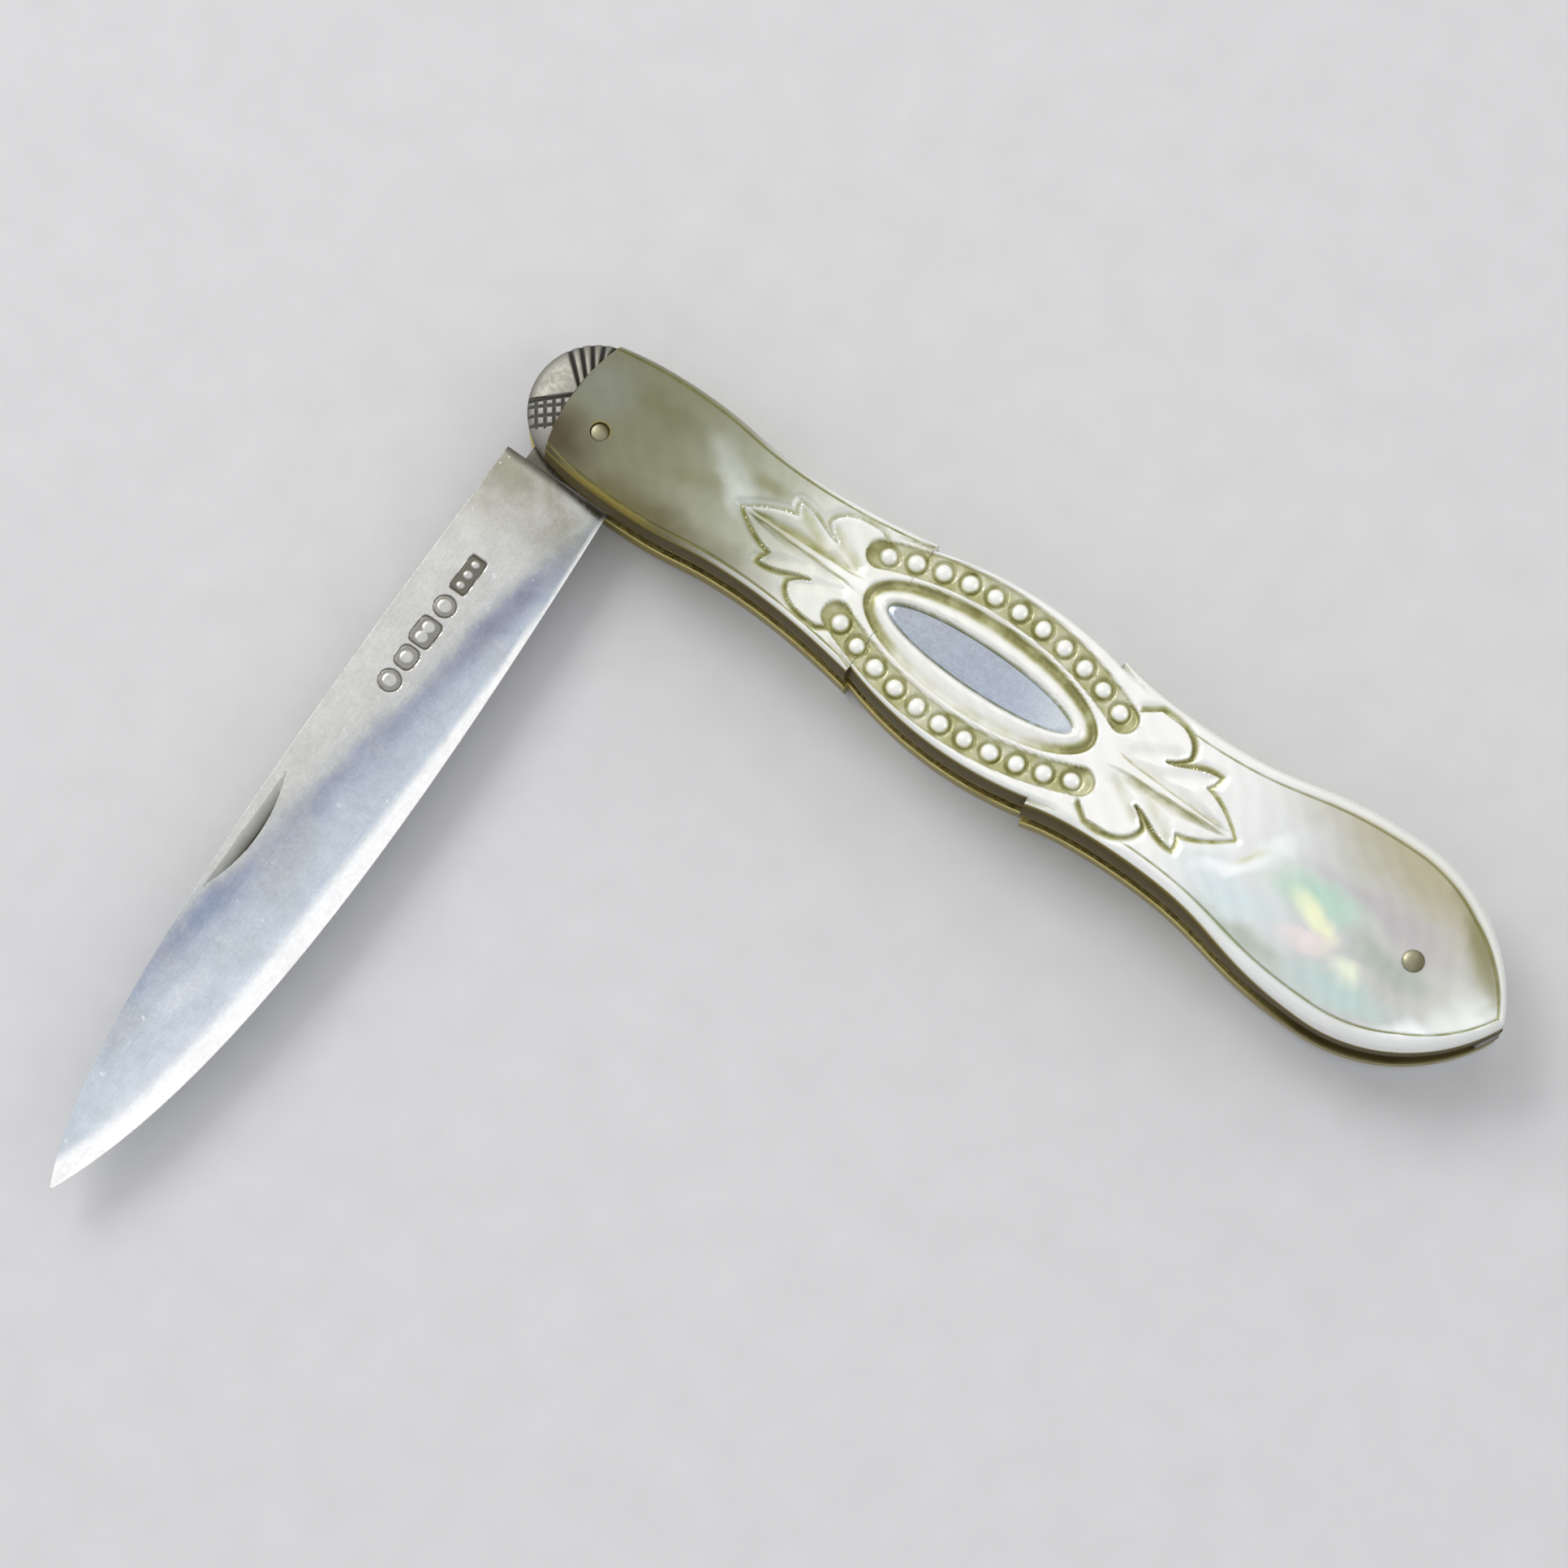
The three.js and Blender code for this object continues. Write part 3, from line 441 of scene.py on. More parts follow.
def drifting(tree, spot):
    """A place that noise has moved a little, so that nothing drawn by it has a straight edge."""
    cloud = place(tree, "ShaderNodeTexNoise", {
        "Vector": spot, "Scale": 0.24, "Detail": 2.0, "Distortion": 0.5,
    }).outputs["Color"]
    halfway = {0: cloud, 1: (0.5, 0.5, 0.5)}
    centred = place(tree, "ShaderNodeVectorMath", halfway, operation="SUBTRACT").outputs[0]
    return place(tree, "ShaderNodeVectorMath", {0: spot, 1: scaled(tree, centred, PEARL_DRIFT)}).outputs[0]


def glowing(tree, spot, shown, glows, share=1.0):
    """Lays soft ovals of colour over what is shown already, each at its strength and all at one share."""
    for centre, reach, turn, colour, strength in glows.values():
        cover = times(tree, glow(tree, spot, centre, reach, turn), strength)
        shown = mixed(tree, times(tree, cover, share), shown, tone(*colour))
    return shown


def pearl_tones(tree, spot):
    """Clean pearl: a ramp along the handle, its glows, its growth waves and a painted highlight on its rim.
    """
    adrift = drifting(tree, spot)
    along = place(tree, "ShaderNodeSeparateXYZ", {0: adrift}).outputs["X"]
    shown = glowing(tree, adrift, banded(tree, along, PEARL_ALONG), GLOWS)
    waves = place(tree, "ShaderNodeTexWave", {
        "Vector": spot, "Scale": 0.28, "Distortion": 14.0, "Detail": 4.0, "Detail Scale": 0.4,
    }, bands_direction="DIAGONAL").outputs["Fac"]
    shown = scaled(tree, shown, remap(tree, waves, 0, 1, *PEARL_WAVES, "LINEAR"))
    # The rim's white and the pale edge of the front leaf are painted highlights.
    rim_highlight = times(tree, stored(tree, "rim_highlight"), remap(tree, along, *RIM_HIGHLIGHT_RUN, *RIM_HIGHLIGHT_COVER))
    sheets = place(tree, "ShaderNodeMapping", {"Vector": spot, "Scale": SHEETS}).outputs[0]
    grain = remap(tree, noise(tree, sheets, 1.0, 3.0, 0.5, 8.0), 0.35, 0.65, SHEET_DARK, 0.0)
    level = calc(tree, "SUBTRACT", 1.0, times(tree, rim_highlight, grain))
    return scaled(tree, mixed(tree, rim_highlight, shown, RIM_HIGHLIGHT), level)


print("pearl:", len(PEARL_ALONG), "tones along the handle,", len(GLOWS), "glows")

# %% [markdown]
# The mesh stores how shaded and how stained each point is, and the finish lays both over the clean tones:
# olive painted shade in the carving, brown painted shade on the walls and round the pivot pin, and the
# pearl's own brown stain at the smoky end. Pearl shines from below its surface, so it is given a clear coat
# and a little of a metal's shine, which the painted shade and the stain take away.

# %% The pearl finish
CUT_SHADE, CUT_SHADE_DEEP = tone(170, 170, 116), tone(128, 124, 68)
STAIN_AND_SHADE, STAIN_AND_SHADE_DEEP = tone(130, 115, 40), tone(72, 60, 4)
CUT_SHADE_UNEVEN, CUT_SHADE_RUN, CUT_SHADE_DEEP_RUN = (0.6, 1.0), (0.0, 0.75), (0.6, 1.0)
STAIN_AND_SHADE_RUN, STAIN_AND_SHADE_DEEP_RUN = (0.0, 0.6), (0.5, 1.0)
PEARL_ROUGH, CUT_SHADE_ROUGH, STAIN_AND_SHADE_ROUGH = (0.2, 0.32), 0.2, 0.4
PEARL_COAT, PEARL_METAL, COAT_ROUGH = 0.6, 0.3, 0.06
PEARL_DEPTH, PEARL_SCATTER = 0.06, 0.5 * MM
FOLD_SHARE, PEARL_DENT = 12.0, 0.02 * MM


def pearl_finish():
    """Carved mother-of-pearl: smoky at the pivot, white in the middle, shimmering at the tail."""
    material, tree, surface = new_material("carved_pearl")
    spot = millimetres(tree)
    uneven = remap(tree, noise(tree, spot, 0.8, 3.0, 0.0, 11.0), 0.32, 0.68, *CUT_SHADE_UNEVEN)
    # Olive painted shade in the cuts, a little uneven along the handle.
    cut_shade = times(tree, stored(tree, "shade_and_tarnish"), uneven)
    darkened_tone = mixed(tree, remap(tree, cut_shade, *CUT_SHADE_DEEP_RUN, 0, 1), CUT_SHADE, CUT_SHADE_DEEP)
    shown = mixed(tree, remap(tree, cut_shade, *CUT_SHADE_RUN, 0, 1), pearl_tones(tree, spot), darkened_tone)
    stain_and_shade = stored(tree, "stain_and_shade")
    brown = mixed(tree, remap(tree, stain_and_shade, *STAIN_AND_SHADE_DEEP_RUN, 0, 1), STAIN_AND_SHADE, STAIN_AND_SHADE_DEEP)
    shown = mixed(tree, remap(tree, stain_and_shade, *STAIN_AND_SHADE_RUN, 0, 1), shown, brown)
    rough = remap(tree, noise(tree, spot, 0.9, 4.0, 0.0, 5.0), 0.3, 0.7, *PEARL_ROUGH)
    dull = calc(tree, "ADD", times(tree, cut_shade, CUT_SHADE_ROUGH), times(tree, stain_and_shade, STAIN_AND_SHADE_ROUGH))
    shine = remap(tree, stain_and_shade, 0.0, 0.3, 1, 0.1)
    folds = times(tree, noise(tree, spot, 0.16, 2.0, 1.2, 3.0), FOLD_SHARE)
    height = calc(tree, "ADD", folds, noise(tree, spot, 2.2, 5.0, 0.0, 9.0))
    bump = place(tree, "ShaderNodeBump", {"Strength": 0.3, "Distance": PEARL_DENT, "Height": height})
    fill(tree, surface, {
        "Base Color": shown,
        "Roughness": calc(tree, "ADD", rough, dull),
        "Metallic": times(tree, shine, PEARL_METAL),
        "Coat Weight": times(tree, shine, PEARL_COAT),
        "Coat Roughness": COAT_ROUGH,
        "Specular IOR Level": 0.5,
        "Subsurface Weight": PEARL_DEPTH,
        "Subsurface Scale": PEARL_SCATTER,
        "Normal": bump.outputs[0],
    })
    return material


pearl = pearl_finish()
print("finish:", pearl.name)

# %% [markdown]
# ## Silver, gilt and steel
# The blade and the fittings are silver, but worn in different ways. The bolsters and the plate are greyer
# than the blade, and the engraving of the bolsters holds dark tarnish. One function makes all the metals:
# a base colour, a cloudy bloom, scratches that follow a direction, and dark places where the mesh stores
# them: tarnish in hollows, painted shade on the pins and in the nail nick, and a darker tail on the liners.
# The base colour may also be a function that paints with nodes, as the painted reflections on the plate
# and the blade do.

# %% The metal finishes
# The plate's tones are a painted reflection of the studio.
PLATE_REFLECTION = [
    (25.0, (182, 190, 200)), (33.0, (184, 192, 206)), (37.5, (192, 202, 216)), (40.5, (222, 230, 238)),
]
SCRATCH_STRETCH = (0.5, 8.0, 1.0)
SCRATCH_TONES, SWIRL_TONES = (0.94, 1.04), (0.96, 1.03)
BLOOM_ROUGH, HONED_ROUGH, METAL_DENT = 0.15, 0.35, 0.006 * MM


def metal_finish(name, colour, bloom, darkened_tone, rough, bloom_share=0.5, turn=0.0, shift=0.0):
    """A metal with cloudy bloom, fine scratches along one direction, and the tarnish and painted shade that
    the mesh stores.
    """
    material, tree, surface = new_material(name)
    spot = place(tree, "ShaderNodeMapping", {
        "Vector": millimetres(tree), "Location": (shift, 0, 0), "Rotation": (0, 0, turn),
    }).outputs[0]
    drawn = place(tree, "ShaderNodeMapping", {"Vector": spot, "Scale": SCRATCH_STRETCH}).outputs[0]
    scratches = noise(tree, drawn, 1.0, 5.0, 0.3)
    swirls = noise(tree, spot, 1.3, 6.0, 2.6, 4.0)
    clouds = remap(tree, noise(tree, spot, 0.35, 4.0, 0.8, 8.0), 0.45, 0.75, 0, bloom_share)
    sunk = stored(tree, "shade_and_tarnish")

    shown = mixed(tree, clouds, colour(tree, spot) if callable(colour) else colour, bloom)
    shown = scaled(tree, shown, remap(tree, scratches, 0.25, 0.75, *SCRATCH_TONES, "LINEAR"))
    shown = scaled(tree, shown, remap(tree, swirls, 0.3, 0.7, *SWIRL_TONES, "LINEAR"))
    dull = calc(tree, "ADD", remap(tree, swirls, 0.3, 0.7, *rough), times(tree, clouds, BLOOM_ROUGH))
    honed = times(tree, calc(tree, "MAXIMUM", sunk, stored(tree, "painted_highlight")), HONED_ROUGH)
    height = calc(tree, "ADD", scratches, swirls)
    bump = place(tree, "ShaderNodeBump", {"Strength": 0.2, "Distance": METAL_DENT, "Height": height})
    fill(tree, surface, {
        # Darker where the mesh stores tarnish, and where it stores painted shade.
        "Base Color": mixed(tree, sunk, shown, darkened_tone),
        "Roughness": calc(tree, "ADD", dull, honed),
        "Metallic": 1.0,
        "Normal": bump.outputs[0],
    })
    return material


def plate_reflection(tree, spot):
    """Painted reflection: bluish silver that grows brighter towards one end of the plate."""
    return banded(tree, place(tree, "ShaderNodeSeparateXYZ", {0: spot}).outputs["X"], PLATE_REFLECTION)


fitting_silver = metal_finish(
    "fitting_silver", tone(144, 142, 134), tone(128, 126, 114), tone(66, 66, 62), (0.44, 0.56),
)
pin_silver = metal_finish(
    "pin_silver", tone(158, 155, 130), tone(120, 115, 84), tone(90, 82, 50), (0.3, 0.42), bloom_share=0.7,
)
plate_silver = metal_finish(
    "plate_silver", plate_reflection, tone(168, 174, 190), tone(90, 88, 84), (0.2, 0.34),
)
gilt = metal_finish(
    "liner_gilt", tone(222, 206, 128), tone(150, 130, 68), tone(60, 50, 26), (0.25, 0.45), bloom_share=0.8,
)
# A darker copy of the gilt for the front liner: painted shade.
gilt_in_painted_shade = metal_finish(
    "gilt_in_painted_shade", tone(118, 102, 52), tone(74, 62, 28), tone(50, 42, 20), (0.4, 0.55), bloom_share=0.9,
)
steel = metal_finish(
    "spring_steel", tone(138, 137, 134), tone(96, 88, 76), tone(50, 48, 44), (0.3, 0.45), bloom_share=0.7,
)
metals = (fitting_silver, pin_silver, plate_silver, gilt, gilt_in_painted_shade, steel)
print("metals:", ", ".join(metal.name for metal in metals))

# %% [markdown]
# ## The outline of the handle
# Seen from above, the handle swells and narrows: a round bolster, a shoulder, a slim neck, a panel that
# steps out for the carving, a waist and a bulb. The outline is a few stations joined by Bezier curves,
# the panel is an arc of a circle, and both sides are alike. Levels and pins are read from the frame,
# so that every new piece sits where the construction has it.

# %% Draw the handle's outline
def span(node):
    """A node's lowest and highest corner, in millimetres."""
    low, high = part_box(node)
    return np.array(low) / MM, np.array(high) / MM


def bezier(controls, count=60):
    """Points along a Bezier curve, by drawing between its control points again and again."""
    share = np.linspace(0, 1, count)[:, None]
    layers = [np.tile(np.array(point, float), (count, 1)) for point in controls]
    while len(layers) > 1:
        layers = [first + (second - first) * share for first, second in zip(layers, layers[1:])]
    return layers[0]


TIP_X = span("front_liner")[1][0]
FRONT_Z = span("front_scale")[0][2]
REAR_Z = span("rear_scale")[1][2]
SCALE_THICK = span("front_scale")[1][2] - FRONT_Z
BOLSTER_X, BOLSTER_RADIUS = -1.4, 5.2
JOINT_X, JOINT_BULGE = -2.5, 0.9
SHOULDER = (4.1, 5.75)
NECK = (15.0, 5.0)
PANEL_START, PANEL_END = 25.5, 41.9
FLARE_HALF, SHELF_HALF = 6.1, 7.0
PANEL_X, PANEL_HALF, PANEL_ARC = 34.9, 7.1, 31.0
WAIST = (49.6, 6.15)
BULB = (67.5, 8.15)
WING_BEND, SHELF_BEND = 0.43, 0.36
TIP_BEND = [(73.5, 8.15), (78.1, 4.2)]
JOINT_HALF = math.sqrt(BOLSTER_RADIUS**2 - (JOINT_X - BOLSTER_X) ** 2)


def eased(start, end):
    """A curve that leaves its start and reaches its end along the handle."""
    middle = (start[0] + end[0]) / 2
    return bezier([start, (middle, start[1]), (middle, end[1]), end])


def swept(start, level, bend, end):
    """A curve between two stations that bends at a share of its run."""
    return bezier([start, (start[0] + bend * (end[0] - start[0]), level), end])


front_wing = np.vstack([
    swept((JOINT_X, JOINT_HALF), SHOULDER[1], WING_BEND, SHOULDER),
    eased(SHOULDER, NECK)[1:],
    swept(NECK, NECK[1], WING_BEND, (PANEL_START, FLARE_HALF))[1:],
])
tail_wing = np.vstack([
    swept((PANEL_END, SHELF_HALF), WAIST[1], SHELF_BEND, WAIST),
    eased(WAIST, BULB)[1:],
    bezier([BULB, *TIP_BEND, (TIP_X, 0)], 200)[1:],
])


def panel_reach(x, y):
    """How far a point lies inside the panel's arc, which is negative outside it."""
    return PANEL_ARC - np.hypot(x - PANEL_X, np.abs(y) + PANEL_ARC - PANEL_HALF)


def half_at(x):
    """Half the handle's width at a place along it."""
    panel = PANEL_HALF - PANEL_ARC + np.sqrt(PANEL_ARC**2 - np.clip(x - PANEL_X, -PANEL_ARC, PANEL_ARC) ** 2)
    wing = np.where(x < PANEL_START, np.interp(x, *front_wing.T), np.interp(x, *tail_wing.T))
    return np.where((x >= PANEL_START) & (x <= PANEL_END), panel, wing)


print(f"handle: {TIP_X - BOLSTER_X + BOLSTER_RADIUS:.1f} mm long, {2 * BULB[1]:.1f} mm wide at the bulb")

# %% [markdown]
# ## The carving as a height map
# A carver starts from a flat blank and only takes away, so each point of the face has one depth. That
# makes a height map the natural way to carve here: simple functions say how deep each kind of cut is at a
# point, and the deepest cut wins. Boolean cutters would need hundreds of small solids. Each function also
# returns how much painted shade darkens its cut, which the pearl finish shows.

# %% Cuts for the bead rows
CARVING_X = sum(span("escutcheon"))[0] / 2
BEAD_COUNT, BEAD_PITCH, BEAD_RADIUS = 11, 2.13, 0.86
BEAD_ARC, BEAD_ROW_HALF = 27.0, 5.2
PIT_RADIUS, PIT_WALL, PIT_DEEP = 1.18, 0.36, 0.58
CHANNEL_HALF, CHANNEL_WALL, CHANNEL_DEEP = 1.26, 0.3, 0.4
RUN_OUT, RUN_RISE = 0.6, 0.3
PIT_SHADE, CHANNEL_SHADE, END_SHADE = 0.85, 0.7, 0.9


def smooth(low, high, value):
    """Rises gently from 0 to 1 as the value goes from low to high."""
    share = np.clip((value - low) / (high - low), 0, 1)
    return share * share * (3 - 2 * share)


def bead_pits(s, t):
    """A shallow channel with a round pit for each bead, which runs out beyond the last one."""
    reach = t + BEAD_ARC - BEAD_ROW_HALF
    step = BEAD_PITCH / BEAD_ARC
    last = (BEAD_COUNT - 1) / 2 * step
    turn = np.arctan2(s, reach)
    bead = np.clip(np.round(turn / step) * step, 0, last)
    row = np.clip(turn, 0, last + RUN_OUT / BEAD_ARC)
    from_bead = np.hypot(s - BEAD_ARC * np.sin(bead), reach - BEAD_ARC * np.cos(bead))
    from_row = np.hypot(s - BEAD_ARC * np.sin(row), reach - BEAD_ARC * np.cos(row))
    pit = smooth(PIT_RADIUS, PIT_RADIUS - PIT_WALL, from_bead)
    channel = smooth(CHANNEL_HALF, CHANNEL_HALF - CHANNEL_WALL, from_row)
    beyond = np.clip((turn - last) * BEAD_ARC / (RUN_OUT + CHANNEL_HALF), 0, 1)
    floor = np.where(beyond > 0, PIT_DEEP * (1 - RUN_RISE * beyond), CHANNEL_DEEP)
    # Olive painted shade in the pits and the channel.
    pit_shade = PIT_SHADE * smooth(0.2, 0.9, pit)
    channel_shade = np.where(beyond > 0, END_SHADE, CHANNEL_SHADE) * smooth(0.1, 0.7, channel)
    return np.maximum(PIT_DEEP * pit, floor * channel), np.maximum(pit_shade, channel_shade)


print("bead rows: 4 rows of", BEAD_COUNT, "beads,", 2 * BEAD_RADIUS, "mm each")

# %% [markdown]
# The oval in the middle is a moulding: a groove round the outside, a rounded ring, and a slope down to the
# silver plate. Its section is the same all the way round, so it is one small profile, read by how far a
# point lies inside the oval. That distance is found by halving an interval until it fits. The groove has
# painted shade, lighter along the middle of one side, and a ring of painted shade lies at the plate's foot.

# %% Cuts for the oval
OVAL_LONG, OVAL_HALF = 10.05, 3.56
LIT_SIDE, LIT_SIDE_RUN, LIT_SIDE_WIDE = 0.65, (8.5, 5.0), 1.5
GROOVE_INNER, GROOVE_OUTER = (-1.15, -0.35), (0.26, 0.06)
SEAT_RUN, SEAT_SHADE = (-1.7, -1.82), 0.7
HALVINGS, LEAST_HALF, FAR_OUT = 36, 0.02, 60.0
OVAL_GROOVE = [(-0.4, 0.46), (-0.15, 0.5), (0.04, 0.38), (0.26, 0.0)]
OVAL_SECTION = [(-1.98, 0.95), (-1.86, 0.52), (-1.6, 0.14), (-1.4, 0.04), (-1.15, 0.1), *OVAL_GROOVE]
PLAIN_SECTION = [(-1.6, 0.0), (-1.0, 0.1), *OVAL_GROOVE]


def oval_inset(s, t):
    """How far a point lies outside the oval, with negative values inside it."""
    low = np.full(np.shape(s), LEAST_HALF - OVAL_HALF)
    high = np.full(np.shape(s), FAR_OUT)
    for _ in range(HALVINGS):
        middle = (low + high) / 2
        outside = (s / (OVAL_LONG + middle)) ** 2 + (t / (OVAL_HALF + middle)) ** 2 > 1
        low = np.where(outside, middle, low)
        high = np.where(outside, high, middle)
    return low


def oval_cut(s, t, y, plated):
    """The moulding round the plate. Without a plate the oval stays flat inside its groove."""
    inset = oval_inset(s, t)
    section = np.array(OVAL_SECTION if plated else PLAIN_SECTION)
    depth = np.interp(inset, section[:, 0], section[:, 1], right=0)
    groove = smooth(*GROOVE_INNER, inset) * smooth(*GROOVE_OUTER, inset)
    seat = smooth(*SEAT_RUN, inset) if plated else 0 * inset
    # Painted shade in the groove, lighter along the middle of one side, and round the plate's foot.
    shade_share = 1 - LIT_SIDE * smooth(0, LIT_SIDE_WIDE, -y) * smooth(*LIT_SIDE_RUN, s)
    return depth, np.maximum(shade_share * groove, SEAT_SHADE * seat)


print("oval:", 2 * OVAL_LONG, "by", 2 * OVAL_HALF, "mm")

# %% [markdown]
# The next cuts follow drawn lines, so two questions come up again and again: how far is a point from a
# line, and does it lie inside an outline? Both are answered here for all the points of a face at once.

# %% Distances to lines
FAR_AWAY, NO_LENGTH = 1e9, 1e-12


def from_line(points, x, y):
    """The distance from each point (x, y) to a line through the given points."""
    nearest = np.full(np.shape(x), FAR_AWAY)
    for (ax, ay), (bx, by) in zip(points, points[1:]):
        long = max((bx - ax) ** 2 + (by - ay) ** 2, NO_LENGTH)
        share = np.clip(((x - ax) * (bx - ax) + (y - ay) * (by - ay)) / long, 0, 1)
        nearest = np.minimum(nearest, np.hypot(x - ax - share * (bx - ax), y - ay - share * (by - ay)))
    return nearest


def within(points, x, y):
    """Whether each point (x, y) lies inside a closed outline, by counting the edges beyond it."""
    inside = np.zeros(np.shape(x), bool)
    for (ax, ay), (bx, by) in zip(points, np.roll(points, -1, axis=0)):
        crosses = (ay > y) != (by > y)
        inside ^= crosses & (x < (bx - ax) * (y - ay) / (by - ay + NO_LENGTH) + ax)
    return inside


corner_test = np.array([(0, 0), (3, 0), (3, 4)])
print("from the line's end:", from_line(corner_test, np.array([3.0]), np.array([9.0]))[0], "mm")

# %% [markdown]
# A leaf points along the handle from each end of the oval. It has a broad lobe, a smaller one and a point,
# with a raised vein down the middle. The outline needs a handful of curves for one quarter, because the
# leaf is mirrored four times, slimmer in front. The carver cut it steeply inside and sloped the ground
# outside, so the leaf seems to stand up. Scoops run along the vein and into the lobes. Olive painted shade
# lies in the outline, the scoops and the flutes, stronger on one side of each vein, and one edge of the
# front leaf has a painted highlight and a lighter line.

# %% Cuts for the leaves
LEAF_X = CARVING_X + 0.6
LEAF_OUTLINE = [
    [(11.2, 4.3), (12.3, 5.1)],
    [(12.3, 5.1), (14.4, 5.3), (15.9, 4.5), (16.0, 3.2)],
    [(16.0, 3.2), (15.6, 2.5), (14.7, 2.05)],
    [(14.7, 2.05), (16.0, 2.2), (16.9, 3.3), (18.7, 3.3)],
    [(18.7, 3.3), (18.7, 2.6), (18.3, 2.1)],
    [(18.3, 2.1), (20.2, 1.7), (22.1, 0.0)],
]
LEAF_ROOT, LEAF_TIP = 10.6, 22.1
LEAF_BASE = [(LEAF_ROOT, -0.5), (LEAF_ROOT, 3.0)]
SCOOP_START, SCOOP_END, VEIN_START = 3.6, 2.0, 2.0
LEAF_DEEP, LEAF_SLOPE, LEAF_WALL = 0.44, 0.75, 0.18
SLOPE_POWER, LEAF_POINTS = 1.3, 16
FRONT_LEAF_SLIM = 1.16
VEIN_RUN, VEIN_HALF = (10.6, 12.6, 21.8), (0.75, 0.42, 0.08)
SCOOP_DEEP, SCOOP_WIDE, SCOOP_TAPER = 0.32, 1.3, 0.26
FLUTES = [((12.4, 1.2), (15.2, 2.8)), ((15.2, 0.9), (18.0, 2.7))]
FLUTE_HALF, FLUTE_DEEP = 1.0, 0.22
WEAK_SIDE, TAIL_SIDE = 0.3, 0.75
TIP_FINE, TIP_SHALLOW = ((17.5, 22.0), (0.6, 0.3)), ((16.5, 19.0, 22.0), (1.0, 0.55, 0.4))
VEIN_SHADE, VEIN_LINE_HALF = 0.6, (0.2, 0.06)
LEAF_LINE_SHADE, FLUTE_SHADE, SCOOP_SHADE = 0.95, 0.5, 0.85
# One edge of the front leaf gets a painted highlight and a lighter line.
HIGHLIGHT_SIDE_LINE, HIGHLIGHT_BAND = 0.5, (0.6, 0.3)


leaf_edge = np.vstack([bezier(curve, LEAF_POINTS) for curve in LEAF_OUTLINE])


def leaf_place(x, y):
    """A point's place on the quarter leaf that all the others mirror."""
    return np.abs(x - LEAF_X), np.abs(y) * np.where(x < LEAF_X, FRONT_LEAF_SLIM, 1.0)


def highlight_side(x, y):
    """The half of the front leaf whose edge has a painted highlight."""
    return (x < LEAF_X) & (y > 0)


def leaf_edge_highlight(x, y):
    """How strong the painted highlight on the front leaf's edge is at each point."""
    return smooth(*HIGHLIGHT_BAND, from_line(leaf_edge, *leaf_place(x, y))) * highlight_side(x, y)


def leaf_cut(x, y):
    """A leaf's outline, the scoops along its vein and the flutes of its lobes."""
    s, t = leaf_place(x, y)
    inside = within(np.vstack([leaf_edge, LEAF_BASE]), s, t)
    edge = from_line(leaf_edge, s, t)
    slope = np.clip(1 - edge / LEAF_SLOPE, 0, 1) ** SLOPE_POWER
    outline = np.where(inside, smooth(LEAF_WALL, 0.0, edge), slope)
    flute = np.max([smooth(FLUTE_HALF, 0.0, from_line(line, s, t)) for line in FLUTES], axis=0)
    flute = flute * inside * smooth(0.02, 0.4, edge)
    vein = np.interp(s, VEIN_RUN, VEIN_HALF)
    wide = np.clip((LEAF_TIP - s) * SCOOP_TAPER, 0.15, SCOOP_WIDE)
    scoop = smooth(vein - 0.02, vein + 0.1, t) * smooth(vein + wide, vein + 0.1, t)
    scoop = scoop * smooth(LEAF_ROOT, LEAF_ROOT + SCOOP_START, s) * smooth(LEAF_TIP, LEAF_TIP - SCOOP_END, s)
    shallow = np.where(x > LEAF_X, np.interp(s, *TIP_SHALLOW), 1.0)
    depth = np.max([LEAF_DEEP * shallow * outline, FLUTE_DEEP * flute, SCOOP_DEEP * scoop], axis=0)
    vein_line = smooth(*VEIN_LINE_HALF, np.abs(t - vein)) * smooth(LEAF_ROOT, LEAF_ROOT + VEIN_START, s)
    vein_line = vein_line * smooth(LEAF_TIP - 0.3, LEAF_TIP - 2, s)
    # Painted shade in the scoops and flutes, stronger on one side of each vein.
    shade_share = np.where((x - LEAF_X) * y < 0, np.where(x < LEAF_X, 1.0, TAIL_SIDE), WEAK_SIDE)
    dark = np.where(highlight_side(x, y), HIGHLIGHT_SIDE_LINE, LEAF_LINE_SHADE)
    line = dark * np.where(inside, outline, smooth(np.interp(s, *TIP_FINE), 0.1, edge))
    shade_amount = [line, VEIN_SHADE * vein_line, shade_share * FLUTE_SHADE * flute, shade_share * SCOOP_SHADE * scoop]
    return depth, np.max(shade_amount, axis=0)


print("leaf outline:", len(LEAF_OUTLINE), "curves,", len(leaf_edge), "points")

# %% [markdown]
# A fine line follows the rim on the plain wings, and the panel's edge runs on over the wings as a second
# line, so that the panel seems to lie on top of them. The rim itself is a quarter round. With these the
# face is complete, and one function gathers all its cuts.

# %% Lines, rim and the whole face
RIM_DROP = 1.5
FRONT_RIM, PANEL_RIM, TAIL_RIM, TIP_RIM = 0.5, 0.6, 1.15, 0.45
TIP_RIM_RUN = 6.0
LINE_BESIDE, LINE_HALF, LINE_DEEP = 0.1, 0.12, 0.17
OVERLAP_RUN, OVERLAP_DEEP = 3.2, 0.45
ARC_LINE_HALF, ARC_LINE_DEEP = 0.2, 0.22
# The first value sets the painted shade in the cut lines.
LINE_SHADE, EDGE_FADE = 0.8, (0.1, 0.45)


def rim_wide(x):
    """How wide the rim is: narrow at the front, wider on the tail, narrow again at the tip."""
    tail = np.interp(x, [TIP_X - TIP_RIM_RUN, TIP_X], [TAIL_RIM, TIP_RIM])
    return np.where(x < PANEL_START, FRONT_RIM, np.where(x > PANEL_END, tail, PANEL_RIM))


